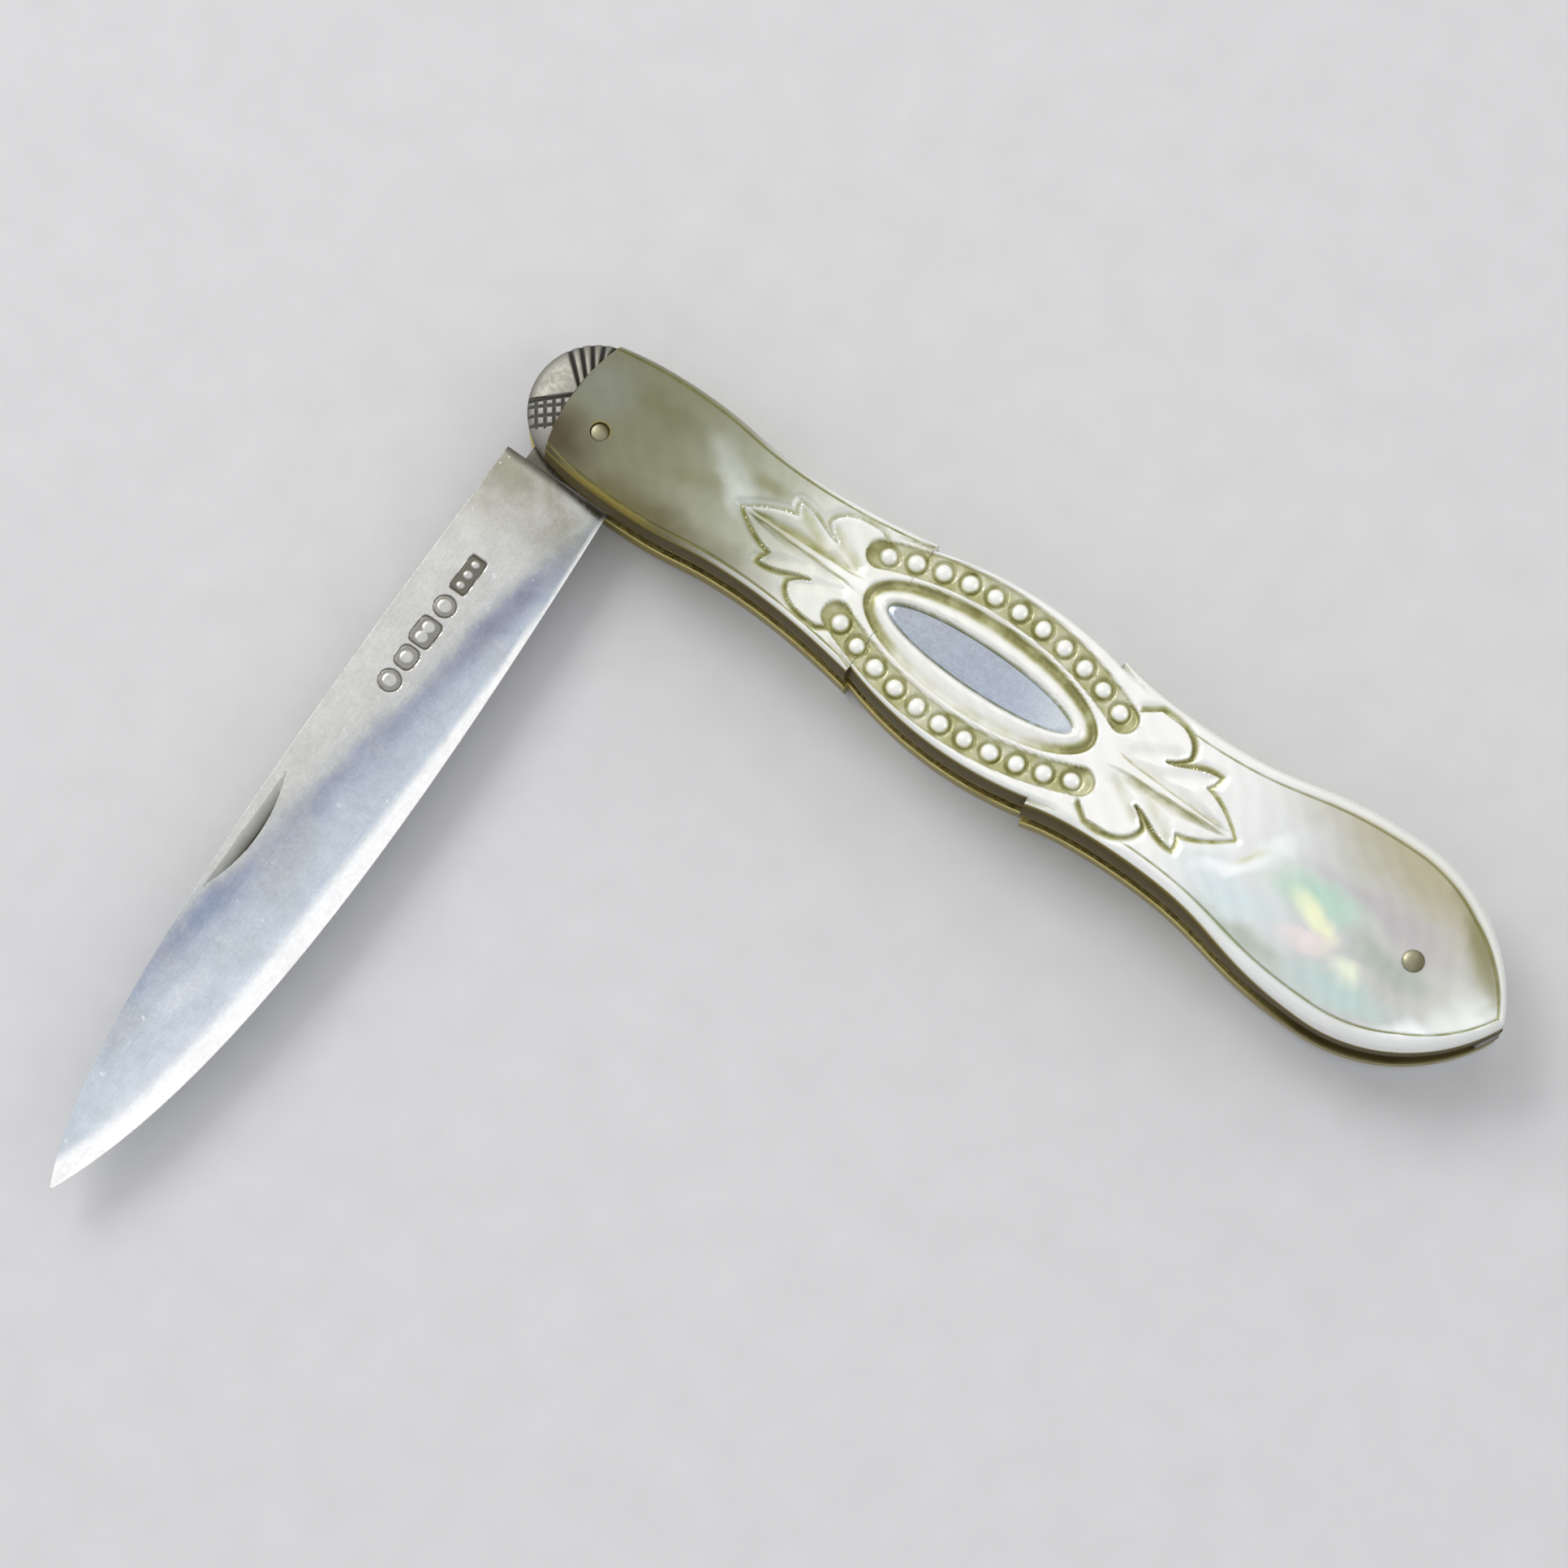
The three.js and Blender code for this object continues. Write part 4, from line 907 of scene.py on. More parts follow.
def rim_fall(inset, wide):
    """How far the quarter round along an edge has fallen."""
    share = np.clip(1 - inset / wide, 0, 1)
    return RIM_DROP * (1 - np.sqrt(1 - share**2))


def wing_lines(x, y, inset):
    """The lines cut along the rim, and the panel's edge where it runs on over the wings."""
    reach = panel_reach(x, y)
    on_wing = (x < PANEL_START) | (x > PANEL_END)
    beside = np.abs(inset - rim_wide(x) - LINE_BESIDE)
    rim_line = np.clip(1 - beside / LINE_HALF, 0, 1) * on_wing * (reach < 0)
    fade = smooth(PANEL_START - OVERLAP_RUN, PANEL_START, x) * smooth(PANEL_END + OVERLAP_RUN, PANEL_END, x)
    overlap = np.minimum(rim_fall(np.maximum(reach, 0), PANEL_RIM), OVERLAP_DEEP)
    overlap = overlap * (reach > 0) * on_wing * fade
    arc_line = np.clip(1 - np.abs(reach) / ARC_LINE_HALF, 0, 1) * on_wing * np.sqrt(fade)
    depth = np.max([LINE_DEEP * rim_line, ARC_LINE_DEEP * arc_line, overlap], axis=0)
    return depth, LINE_SHADE * np.maximum(rim_line, arc_line)


def carving(x, y, inset, plated):
    """The depth of the deepest cut at each point of the face, and the painted shade in it."""
    s = np.abs(x - CARVING_X)
    t = np.abs(y)
    cuts = [bead_pits(s, t), oval_cut(s, t, y, plated), leaf_cut(x, y), wing_lines(x, y, inset)]
    depth = np.max([cut[0] for cut in cuts], axis=0)
    return depth * smooth(*EDGE_FADE, inset), np.max([cut[1] for cut in cuts], axis=0)


print("rim:", FRONT_RIM, "to", TAIL_RIM, "mm wide, rounded over", RIM_DROP, "mm")

# %% [markdown]
# ## The pearl scales
# A scale is the slab of pearl on one side of the handle. Its skin is a loft of sections across the handle.
# The sections stand close together where the carving is, and further apart on the plain wings, so the mesh
# stays light. Where the panel steps, two sections stand almost at the same place. The first sections bend
# to the arc where pearl meets silver.

# %% Lay out the scale's points
CARVED_RUN = (10.5, 57.5)
PLAIN_STEP, CARVED_STEP, TIP_STEP = 0.32, 0.115, 0.1
TIP_RUN = 8.0
STEP_PAIR = 0.03
RIM_SHARES = np.concatenate([1 - np.cos(np.linspace(0, math.pi / 2, 11)), np.linspace(1, 1.25, 6)[1:]])
MIDDLE_ROWS, EDGE_SHARE = 89, 0.6
JOINT_EASE = 6.0
TIP_FLAT, LEAN_STEP = 0.12, 0.01


def scale_columns():
    """Places along the handle where a section of the scale is taken."""
    runs = [
        np.arange(JOINT_X, CARVED_RUN[0], PLAIN_STEP),
        np.arange(*CARVED_RUN, CARVED_STEP),
        np.arange(CARVED_RUN[1], TIP_X - TIP_RUN, PLAIN_STEP),
        np.arange(TIP_X - TIP_RUN, TIP_X, TIP_STEP),
    ]
    columns = np.concatenate(runs)
    columns = columns[half_at(columns) > TIP_FLAT]
    for step in (PANEL_START, PANEL_END):
        columns = columns[np.abs(columns - step) > 2 * STEP_PAIR]
        columns = np.append(columns, [step - STEP_PAIR, step + STEP_PAIR])
    return np.sort(columns)


def scale_rows(x):
    """Places across the handle where a section has its points, close together along the rim."""
    half = half_at(x)
    lean = (half_at(x + LEAN_STEP) - half_at(x - LEAN_STEP)) / (2 * LEAN_STEP)
    along_rim = RIM_SHARES * rim_wide(x) * math.hypot(1, lean)
    edge = np.minimum(along_rim, half * np.linspace(0, EDGE_SHARE, len(RIM_SHARES)))
    middle = np.linspace(1, -1, MIDDLE_ROWS + 2)[1:-1] * (half - edge[-1])
    return np.concatenate([half - edge, middle, (edge - half)[::-1]])


def joint_bend(x, y):
    """How far a point near the bolster moves so that the first section follows the joint's arc."""
    arc = (JOINT_HALF**2 + JOINT_BULGE**2) / (2 * JOINT_BULGE)
    bulge = arc - JOINT_BULGE - np.sqrt(arc**2 - np.minimum(np.abs(y), JOINT_HALF) ** 2)
    return bulge * np.clip(1 - (x - JOINT_X) / JOINT_EASE, 0, 1)


def edge_inset(x, y):
    """How far a point lies inside the edge of its own stretch of the handle."""
    ahead = [(JOINT_X - JOINT_EASE, JOINT_HALF)]
    front = from_line(np.vstack([ahead, front_wing]), x, np.abs(y))
    tail = from_line(tail_wing, x, np.abs(y))
    return np.where(x < PANEL_START, front, np.where(x > PANEL_END, tail, np.abs(panel_reach(x, y))))


print("scale:", len(scale_columns()), "sections of", len(scale_rows(CARVING_X)), "points on the face")

# %% [markdown]
# The same formulas serve twice. They lower the points of the face, and when a boolean has drilled the
# holes for the pins, they tell each point of the finished mesh what is laid on it: olive painted shade in
# the cuts, a painted highlight on the rim, brown painted shade on the walls and round the pin, and brown
# stain at the smoky end.

# %% Carve the scales
# Painted shade on the walls of the scales: stronger on the slot's side, weaker on the rear scale, lower
# towards the tail.
WALL_SHADE_RISE, WALL_SHADE_FADE, WALL_SHADE_SINK = (2.2, 1.7), (54.0, 70.0), 0.8
FRONT_WALL_SHADE, REAR_WALL_SHADE, BACK_WALL_SHADE = 1.0, 0.5, 0.25
SMOKY_RIM, SMOKY_SIDE, SMOKY_STAIN = (13.0, 3.0), (4.7, 5.7), 0.75
# The first pair sets how far in from the edge the rim's painted highlight reaches.
RIM_HIGHLIGHT_REACH, WALL_INSET = (1.0, 0.75), (0.5, 0.3)
# Painted shade on one side of the pivot hole.
HOLE_RING, HOLE_SIDE, HOLE_SHADE = 0.25, (-0.4, 0.6), 0.5
PIN_HOLE, DRILL_STEPS = 0.75, 64
UNDER_ROWS = 5
PIVOT = np.array(frame["joints"][0]["pos_m"]) / MM
END_PIN_X = sum(span("end_pin"))[0] / 2


def drill(x, y, radius, bottom, top):
    """A round cutter standing on the given place."""
    turn = np.linspace(0, 2 * math.pi, DRILL_STEPS, endpoint=False)
    ring = np.stack([x + radius * np.cos(turn), y + radius * np.sin(turn), 0 * turn], axis=-1)
    return loft("drill", [ring + (0, 0, bottom), ring + (0, 0, top)])


def pivot_across(front):
    """The pivot's place across a scale that lies on its inner face."""
    return PIVOT[1] if front else -PIVOT[1]


def store_painted_light_and_stain(mesh, front):
    """Stores each point's painted shade in the cuts, painted highlight on the rim, and stain and painted
    shade.
    """
    x, y, z = positions(mesh).T
    toward_slot = -y if front else y
    from_pivot = y - pivot_across(front)
    inset = edge_inset(x, y)
    _, shade_amount = carving(x, y, inset, front)
    store(mesh, "shade_and_tarnish", shade_amount * (z > SCALE_THICK - RIM_DROP))
    # The rim and one edge of the front leaf get a painted highlight.
    painted_highlight = leaf_edge_highlight(x, y) if front else 0 * x
    store(mesh, "rim_highlight", np.maximum(smooth(*RIM_HIGHLIGHT_REACH, inset / rim_wide(x)), painted_highlight))
    # Painted shade on the walls, sinking lower towards the tail.
    fade = WALL_SHADE_SINK * smooth(*WALL_SHADE_FADE, x)
    wall = (FRONT_WALL_SHADE if front else REAR_WALL_SHADE) * smooth(WALL_SHADE_RISE[0] - fade, WALL_SHADE_RISE[1] - fade, z)
    wall = wall * (BACK_WALL_SHADE + (1 - BACK_WALL_SHADE) * smooth(-1, 1, toward_slot)) * smooth(*WALL_INSET, inset)
    smoky = SMOKY_STAIN * smooth(*SMOKY_RIM, x) * smooth(*SMOKY_SIDE, toward_slot)
    hole = smooth(PIN_HOLE + HOLE_RING, PIN_HOLE, np.hypot(x, from_pivot)) * smooth(*HOLE_SIDE, from_pivot)
    store(mesh, "stain_and_shade", np.max([wall, smoky, HOLE_SHADE * hole], axis=0))


def carved_scale(name, front):
    """A scale lying on its inner face, carved, drilled and with its wear stored."""
    columns = scale_columns()
    y = np.array([scale_rows(x) for x in columns])
    x = columns[:, None] + 0 * y
    inset = edge_inset(x, y)
    depth, _ = carving(x, y, inset, front)
    bent = x + joint_bend(x, y)
    top = np.stack([bent, y, SCALE_THICK - rim_fall(inset, rim_wide(x)) - depth], axis=-1)
    under = np.linspace(-1, 1, UNDER_ROWS) * half_at(columns)[:, None]
    low_x = columns[:, None] + 0 * under
    low = np.stack([low_x + joint_bend(low_x, under), under, 0 * under], axis=-1)
    mesh = loft(name, np.concatenate([top, low], axis=1))
    for hole_x, hole_y in [(0, pivot_across(front)), (END_PIN_X, 0)]:
        mesh = combined(mesh, drill(hole_x, hole_y, PIN_HOLE, -1, SCALE_THICK + 1))
    store_painted_light_and_stain(mesh, front)
    return mesh


def to_front(mesh):
    """Moves a mesh from its inner face up to the front of the handle."""
    mesh.transform(Matrix.Translation((0, 0, FRONT_Z * MM)))
    return mesh


def to_rear(mesh):
    """Turns a mesh over and moves it to the rear of the handle."""
    mesh.transform(Matrix.Translation((0, 0, REAR_Z * MM)) @ Matrix.Rotation(math.pi, 4, "X"))
    return mesh


front_scale = to_front(carved_scale("front_pearl", True))
rear_scale = to_rear(carved_scale("rear_pearl", False))
piece("front_pearl", front_scale, pearl, "handle", "pearl", "front_scale")
piece("rear_pearl", rear_scale, pearl, "handle", "pearl", "rear_scale")

# %% [markdown]
# ## The beads
# Each channel holds a row of eleven round beads, left standing when a pit was cut round each of them.
# What repeats is a task for Geometry Nodes: a line of points is bent to the row's arc, mirrored to the
# other side of the oval, and a ball is set on each point. The balls differ a little in size, as hand work
# does, by a fixed seed. The same tree turns a copy over for the rear of the handle.

# %% A tree of Geometry Nodes for the beads
BEAD_SINK = 0.05
BEAD_SEGMENTS, BEAD_RINGS = 24, 14
BEAD_LEAST, BEAD_MOST = (0.94, 0.94, 0.96), (1.05, 1.05, 1.0)
BEAD_INPUTS = {
    "Count": ("NodeSocketInt", BEAD_COUNT),
    "Pitch": ("NodeSocketFloat", BEAD_PITCH * MM),
    "Arc": ("NodeSocketFloat", BEAD_ARC * MM),
    "Row Half": ("NodeSocketFloat", BEAD_ROW_HALF * MM),
    "Radius": ("NodeSocketFloat", BEAD_RADIUS * MM),
    "Level": ("NodeSocketFloat", (SCALE_THICK - BEAD_SINK - BEAD_RADIUS) * MM),
    "Front": ("NodeSocketVector", (CARVING_X * MM, 0, FRONT_Z * MM)),
    "Rear": ("NodeSocketVector", (CARVING_X * MM, 0, REAR_Z * MM)),
    "Seed": ("NodeSocketInt", 4),
}


def bead_tree(material):
    """Rows of beads along arcs, on the front and the rear of the handle."""
    tree = bpy.data.node_groups.new("bead_rows", "GeometryNodeTree")
    for name, (kind, _) in BEAD_INPUTS.items():
        tree.interface.new_socket(name, in_out="INPUT", socket_type=kind)
    tree.interface.new_socket("Geometry", in_out="OUTPUT", socket_type="NodeSocketGeometry")
    size = place(tree, "NodeGroupInput").outputs
    first = times(tree, calc(tree, "SUBTRACT", size["Count"], 1.0), -0.5)
    first_x = times(tree, first, size["Pitch"])
    start = place(tree, "ShaderNodeCombineXYZ", {"X": first_x}).outputs[0]
    step = place(tree, "ShaderNodeCombineXYZ", {"X": size["Pitch"]}).outputs[0]
    line = place(tree, "GeometryNodeMeshLine", {
        "Count": size["Count"], "Start Location": start, "Offset": step,
    })
    along = place(tree, "ShaderNodeSeparateXYZ", {0: place(tree, "GeometryNodeInputPosition").outputs[0]})
    turn = calc(tree, "DIVIDE", along.outputs["X"], size["Arc"])
    drop = times(tree, calc(tree, "SUBTRACT", calc(tree, "COSINE", turn), 1.0), size["Arc"])
    bent = place(tree, "ShaderNodeCombineXYZ", {
        "X": times(tree, calc(tree, "SINE", turn), size["Arc"]),
        "Y": calc(tree, "ADD", size["Row Half"], drop),
        "Z": size["Level"],
    }).outputs[0]
    row = place(tree, "GeometryNodeSetPosition", {"Geometry": line.outputs[0], "Position": bent}).outputs[0]
    other = place(tree, "GeometryNodeTransform", {"Geometry": row, "Scale": (1, -1, 1)}).outputs[0]
    rows = place(tree, "GeometryNodeJoinGeometry", {0: row})
    tree.links.new(other, rows.inputs[0])
    ball = place(tree, "GeometryNodeMeshUVSphere", {
        "Segments": BEAD_SEGMENTS, "Rings": BEAD_RINGS, "Radius": size["Radius"],
    })
    uneven = place(tree, "FunctionNodeRandomValue", {
        0: BEAD_LEAST, 1: BEAD_MOST, "Seed": size["Seed"],
    }, data_type="FLOAT_VECTOR").outputs[0]
    beads = place(tree, "GeometryNodeInstanceOnPoints", {
        "Points": rows.outputs[0], "Instance": ball.outputs[0], "Scale": uneven,
    }).outputs[0]
    front = place(tree, "GeometryNodeTransform", {
        "Geometry": beads, "Translation": size["Front"],
    }).outputs[0]
    rear = place(tree, "GeometryNodeTransform", {
        "Geometry": beads, "Translation": size["Rear"], "Rotation": (math.pi, 0, 0),
    }).outputs[0]
    both = place(tree, "GeometryNodeJoinGeometry", {0: front})
    tree.links.new(rear, both.inputs[0])
    whole = place(tree, "GeometryNodeRealizeInstances", {0: both.outputs[0]}).outputs[0]
    soft = place(tree, "GeometryNodeSetShadeSmooth", {0: whole}).outputs[0]
    dressed = place(tree, "GeometryNodeSetMaterial", {"Geometry": soft, "Material": material}).outputs[0]
    place(tree, "NodeGroupOutput", {0: dressed})
    return tree


bead_nodes = bead_tree(pearl)
print("bead tree:", len(bead_nodes.nodes), "nodes")

# %% [markdown]
# A tree makes nothing until an object uses it. An empty one runs it here, and the result is kept as a plain
# mesh. Then each bead gets its painted shade: its crown is left light, and its foot is dark.

# %% Grow the bead rows
# Painted shade: dark at each bead's foot, none on its crown.
BEAD_SHADE, BEAD_CROWN_LIT, BEAD_FOOT = 0.95, 0.14, 0.48


def grown(name, tree, inputs):
    """Runs a Geometry Nodes tree and returns its result as a plain mesh."""
    holder = added(name, bpy.data.meshes.new(name))
    step = holder.modifiers.new(name, "NODES")
    step.node_group = tree
    sockets = {item.name: item.identifier for item in tree.interface.items_tree if item.in_out == "INPUT"}
    for label, (_, value) in inputs.items():
        step[sockets[label]] = value
    shaped = holder.evaluated_get(bpy.context.evaluated_depsgraph_get())
    mesh = bpy.data.meshes.new_from_object(shaped)
    bpy.data.objects.remove(holder)
    return mesh


beads = grown("bead_rows", bead_nodes, BEAD_INPUTS)
level = positions(beads)[:, 2]
height = np.where(level > FRONT_Z, level - FRONT_Z, REAR_Z - level)
store(beads, "shade_and_tarnish", BEAD_SHADE * smooth(SCALE_THICK - BEAD_CROWN_LIT, SCALE_THICK - BEAD_FOOT, height))
piece("bead_rows", beads, pearl, "handle", "pearl")

# %% [markdown]
# ## The bolsters
# A bolster is the silver cap at the pivot end, a low dome on a short wall. It is engraved by hand: bright
# strokes fan out on one side, a plain wedge follows, then a border line and a patch of cross-hatching.
# A bump map could suggest this, but it would leave the mesh itself flat. So each stroke is a cut, as in
# the carving, that runs from the joint to the rim.

# %% Cuts for the engraving
JOINT_GAP = 0.04
STROKE_COUNT, STROKE_FIRST, STROKE_PITCH = 5, 0.6, 0.8
STROKE_TURN, STROKE_FAN = 148.5, 9.7
STROKE_HALF, HATCH_HALF, STROKE_DEEP = 0.22, 0.17, 0.2
STROKE_SWELL, CUT_FLOOR = (0.4, 0.95), 0.15
BORDER_SHARE, HATCH_SHARE = 0.9, 0.7
BORDER_START, BORDER_TURN = -0.25, 208.0
HATCH_TURN = math.radians(36)
HATCH_ALONG = np.array([math.cos(HATCH_TURN), math.sin(HATCH_TURN)])
HATCH_ACROSS = np.array([-HATCH_ALONG[1], HATCH_ALONG[0]])
HATCH_CELL, HATCH_ROW = 0.68, 0.74
HATCH_ROWS = 3


def joint_point(y):
    """The point of the joint's arc at a place across the handle, on the bolster's side."""
    return np.stack([JOINT_X - JOINT_GAP + joint_bend(JOINT_X + 0 * y, y), y], axis=-1)


def rim_point(turn):
    """The point of the bolster's round rim at an angle."""
    ring = np.stack([np.cos(turn), np.sin(turn)], axis=-1)
    return np.array([BOLSTER_X, 0]) + BOLSTER_RADIUS * ring


def groove(distance, half):
    """A graver's cut with a rounded floor."""
    return smooth(half, CUT_FLOOR * half, distance)


def bolster_engraving(x, y):
    """How deep the graver went on the bolster, as a share of its deepest stroke."""
    cut = np.zeros(np.shape(x))
    swell = STROKE_SWELL[0] + STROKE_SWELL[1] * np.hypot(x - BOLSTER_X, y) / BOLSTER_RADIUS
    for number in range(STROKE_COUNT):
        start = joint_point(np.array(STROKE_FIRST + STROKE_PITCH * number))
        end = rim_point(math.radians(STROKE_TURN - STROKE_FAN * number))
        cut = np.maximum(cut, groove(from_line([start, end], x, y), STROKE_HALF * swell))
    start = joint_point(np.array(BORDER_START))
    end = rim_point(math.radians(BORDER_TURN))
    cut = np.maximum(cut, BORDER_SHARE * groove(from_line([start, end], x, y), STROKE_HALF))
    spot = np.stack([x, y], axis=-1) - start
    along = spot @ HATCH_ALONG
    below = -(spot @ HATCH_ACROSS)
    patch = (below > 0) * (below < HATCH_ROWS * HATCH_ROW + STROKE_HALF)
    row = np.abs(below - HATCH_ROW * np.round(below / HATCH_ROW))
    column = np.abs(along - HATCH_CELL * np.round(along / HATCH_CELL))
    return np.maximum(cut, HATCH_SHARE * patch * groove(np.minimum(row, column), HATCH_HALF))


print("engraving:", STROKE_COUNT, "strokes and", HATCH_ROWS, "rows of cross-hatching")

# %% [markdown]
# The dome is a fine grid between the joint and the rim. Its points are lowered by the engraving, and each
# keeps how deep it was cut, so that the finish can darken it.

# %% Make the bolsters
BOLSTER_WALL = SCALE_THICK - RIM_DROP
CROWN_BELOW = 0.3
BOLSTER_CROWN = SCALE_THICK - CROWN_BELOW
BOLSTER_ROWS, BOLSTER_COLUMNS, BOLSTER_REACH = 190, 70, 0.997


def bolster(name):
    """A bolster lying on its inner face."""
    share = np.linspace(-BOLSTER_REACH, BOLSTER_REACH, BOLSTER_ROWS)
    corner = math.acos((JOINT_X - BOLSTER_X) / BOLSTER_RADIUS)
    near = joint_point(share * JOINT_HALF)[:, None]
    far = rim_point(math.pi - share * (math.pi - corner))[:, None]
    out = np.sin(np.linspace(0, math.pi / 2, BOLSTER_COLUMNS))[None, :, None]
    x, y = np.moveaxis(near + (far - near) * out, -1, 0)
    dome = np.sqrt(np.clip(1 - (np.hypot(x - BOLSTER_X, y) / BOLSTER_RADIUS) ** 2, 0, 1))
    rise = BOLSTER_WALL + (BOLSTER_CROWN - BOLSTER_WALL) * dome
    top = np.stack([x, y, rise - STROKE_DEEP * bolster_engraving(x, y)], axis=-1)
    flat = np.zeros((BOLSTER_ROWS, 1, 1))
    low = [np.concatenate([edge, flat], axis=-1) for edge in (far, near)]
    mesh = loft(name, np.concatenate([top, *low], axis=1))
    x, y, z = positions(mesh).T
    store(mesh, "shade_and_tarnish", bolster_engraving(x, y) * (z > BOLSTER_WALL / 2))
    return mesh


front_cap = to_front(bolster("front_cap"))
rear_cap = to_rear(bolster("rear_cap"))
piece("front_cap", front_cap, fitting_silver, "handle", "fitting_silver", "front_bolster")
piece("rear_cap", rear_cap, fitting_silver, "handle", "fitting_silver", "rear_bolster")

# %% [markdown]
# ## The plate and the pins
# The plate is a thin oval of silver with softened edges, let into the pearl. Pins are cut from wire and
# hammered, so their ends are low domes. Both are made of rings: ovals that shrink towards the crown of the
# plate, and circles of a turned profile for the pins. First the plate.

# %% Make the plate
PLATE_LOW, PLATE_HIGH = span("escutcheon")
PLATE_THICK, PLATE_BEVEL, PLATE_CROWN, PLATE_FOOT = 0.4, 0.1, 0.05, 0.04
BEVEL_SHARE, BEVEL_DROP = 0.3, 0.03
ROUND_STEPS, CROWN_STEPS, DOME_REACH = 96, 16, 0.985


def turned(name, x, y, profile, aspect=1.0):
    """A turned piece: rings of the given radius at each level, stretched along the handle by the aspect."""
    turn = np.linspace(0, 2 * math.pi, ROUND_STEPS, endpoint=False)
    rings = [
        np.stack([x + aspect * radius * np.cos(turn), y + radius * np.sin(turn), 0 * turn + z], axis=-1)
        for radius, z in profile
    ]
    return loft(name, rings)


def dome(radius, base, rise, steps=10):
    """A profile from the edge of a low dome up to its crown, or down if the rise is negative."""
    turn = np.linspace(0, DOME_REACH * math.pi / 2, steps)
    return [(radius * math.cos(angle), base + rise * math.sin(angle)) for angle in turn]


half_long, half_wide = (PLATE_HIGH - PLATE_LOW)[:2] / 2
plate_top = PLATE_HIGH[2]
inner = half_wide - PLATE_BEVEL
plate_profile = [
    (half_wide - PLATE_FOOT, plate_top - PLATE_THICK),
    (half_wide, plate_top - PLATE_THICK + PLATE_FOOT),
    (half_wide, plate_top - PLATE_BEVEL - PLATE_CROWN),
    (inner + PLATE_BEVEL * BEVEL_SHARE, plate_top - PLATE_CROWN - BEVEL_DROP),
    *dome(inner, plate_top - PLATE_CROWN, PLATE_CROWN, CROWN_STEPS),
]
plate = turned("name_plate", CARVING_X, 0, plate_profile, half_long / half_wide)
piece("name_plate", plate, plate_silver, "handle", "fitting_silver", "escutcheon")

# %% [markdown]
# The two pins share a foot at the rear. The pivot pin ends just below the face of the bolster, and the end
# pin has a head that stands on the pearl. Painted shade darkens one side of each.

# %% Make the pins
PIN_RADIUS, PIN_RECESS, PIN_DOME = 0.72, 0.06, 0.14
PIN_SLANT, PIN_SHADE, PIN_SHADE_LEVELS = 0.3, (0.0, 0.9), (0.15, 0.7)
HEAD_RADIUS, HEAD_RISE, HEAD_LIFT = 0.85, 0.3, (0.01, 0.03)
HEAD_SLANT, HEAD_SHADE, HEAD_SHADE_AMOUNT = 0.4, (-0.2, 0.8), 0.6
FACE_Z = FRONT_Z + SCALE_THICK

pin_foot = dome(PIN_RADIUS, PIN_RECESS + PIN_DOME, -PIN_DOME)[::-1]
pivot_profile = pin_foot + dome(PIN_RADIUS, FACE_Z - PIN_RECESS - PIN_DOME, PIN_DOME)
pivot_pin = turned("pivot_rivet", 0, PIVOT[1], pivot_profile)
x, y, _ = positions(pivot_pin).T
# Painted shade on one side of the pivot pin.
shaded = smooth(*PIN_SHADE, (PIN_SLANT * x + y - PIVOT[1]) / PIN_RADIUS)
store(pivot_pin, "shade_and_tarnish", PIN_SHADE_LEVELS[0] + PIN_SHADE_LEVELS[1] * shaded)
piece("pivot_rivet", pivot_pin, pin_silver, "handle", "fitting_silver", "pivot_pin")

end_profile = pin_foot + [(PIN_RADIUS, FACE_Z), (HEAD_RADIUS, FACE_Z + HEAD_LIFT[0])]
end_profile += dome(HEAD_RADIUS, FACE_Z + HEAD_LIFT[1], HEAD_RISE - HEAD_LIFT[1])[1:]
end_pin = turned("end_rivet", END_PIN_X, 0, end_profile)
x, y, _ = positions(end_pin).T
# Painted shade on one side of the end pin's head.
shaded = smooth(*HEAD_SHADE, (x - END_PIN_X + HEAD_SLANT * y) / HEAD_RADIUS)
store(end_pin, "shade_and_tarnish", HEAD_SHADE_AMOUNT * shaded)
piece("end_rivet", end_pin, pin_silver, "handle", "fitting_silver", "end_pin")

# %% [markdown]
# ## The liners and the spring
# Two thin gilt liners lie under the scales, and the steel spring fills the back of the gap between them.
# Only their edges show, as a yellow line round the handle, so what matters is a smooth outline and a
# softened edge that catches the light. Each is the outline drawn at a few levels, with the first and last
# drawn in a little, and towards the tail the gilding is darker.

# %% Make the liners
EDGE_SOFT, SIDE_POINTS = 0.06, 60
TAIL_DARKENING, TAIL_DARKENING_RUN = 0.85, (58.0, 68.0)
CENTRE_PIN = sum(span("centre_pin"))[:2] / 2


def handle_side():
    """The back edge of the handle from the end of the bolster to the tip."""
    corner = math.acos((JOINT_X - BOLSTER_X) / BOLSTER_RADIUS)
    cap = rim_point(np.linspace(math.pi, corner, SIDE_POINTS))[:-1]
    panel_x = np.linspace(PANEL_START, PANEL_END, SIDE_POINTS)
    panel = np.stack([panel_x, half_at(panel_x)], axis=-1)
    return np.vstack([cap, front_wing, panel, tail_wing])


def drawn_in(outline, inset):
    """A closed outline moved inwards by a small amount."""
    along = np.roll(outline, -1, axis=0) - np.roll(outline, 1, axis=0)
    along = along / np.maximum(np.linalg.norm(along, axis=1, keepdims=True), 1e-9)
    area = np.sum(outline[:, 0] * np.roll(outline[:, 1], -1) - np.roll(outline[:, 0], -1) * outline[:, 1])
    inward = np.stack([-along[:, 1], along[:, 0]], axis=-1) * np.sign(area)
    return outline + inset * inward


def flat_bar(name, outline, bottom, top):
    """A flat piece of the given outline with softened edges."""
    levels = [(EDGE_SOFT, bottom), (0, bottom + EDGE_SOFT), (0, top - EDGE_SOFT), (EDGE_SOFT, top)]
    rings = [
        np.column_stack([drawn_in(outline, inset), np.full(len(outline), level)]) for inset, level in levels
    ]
    return loft(name, rings)


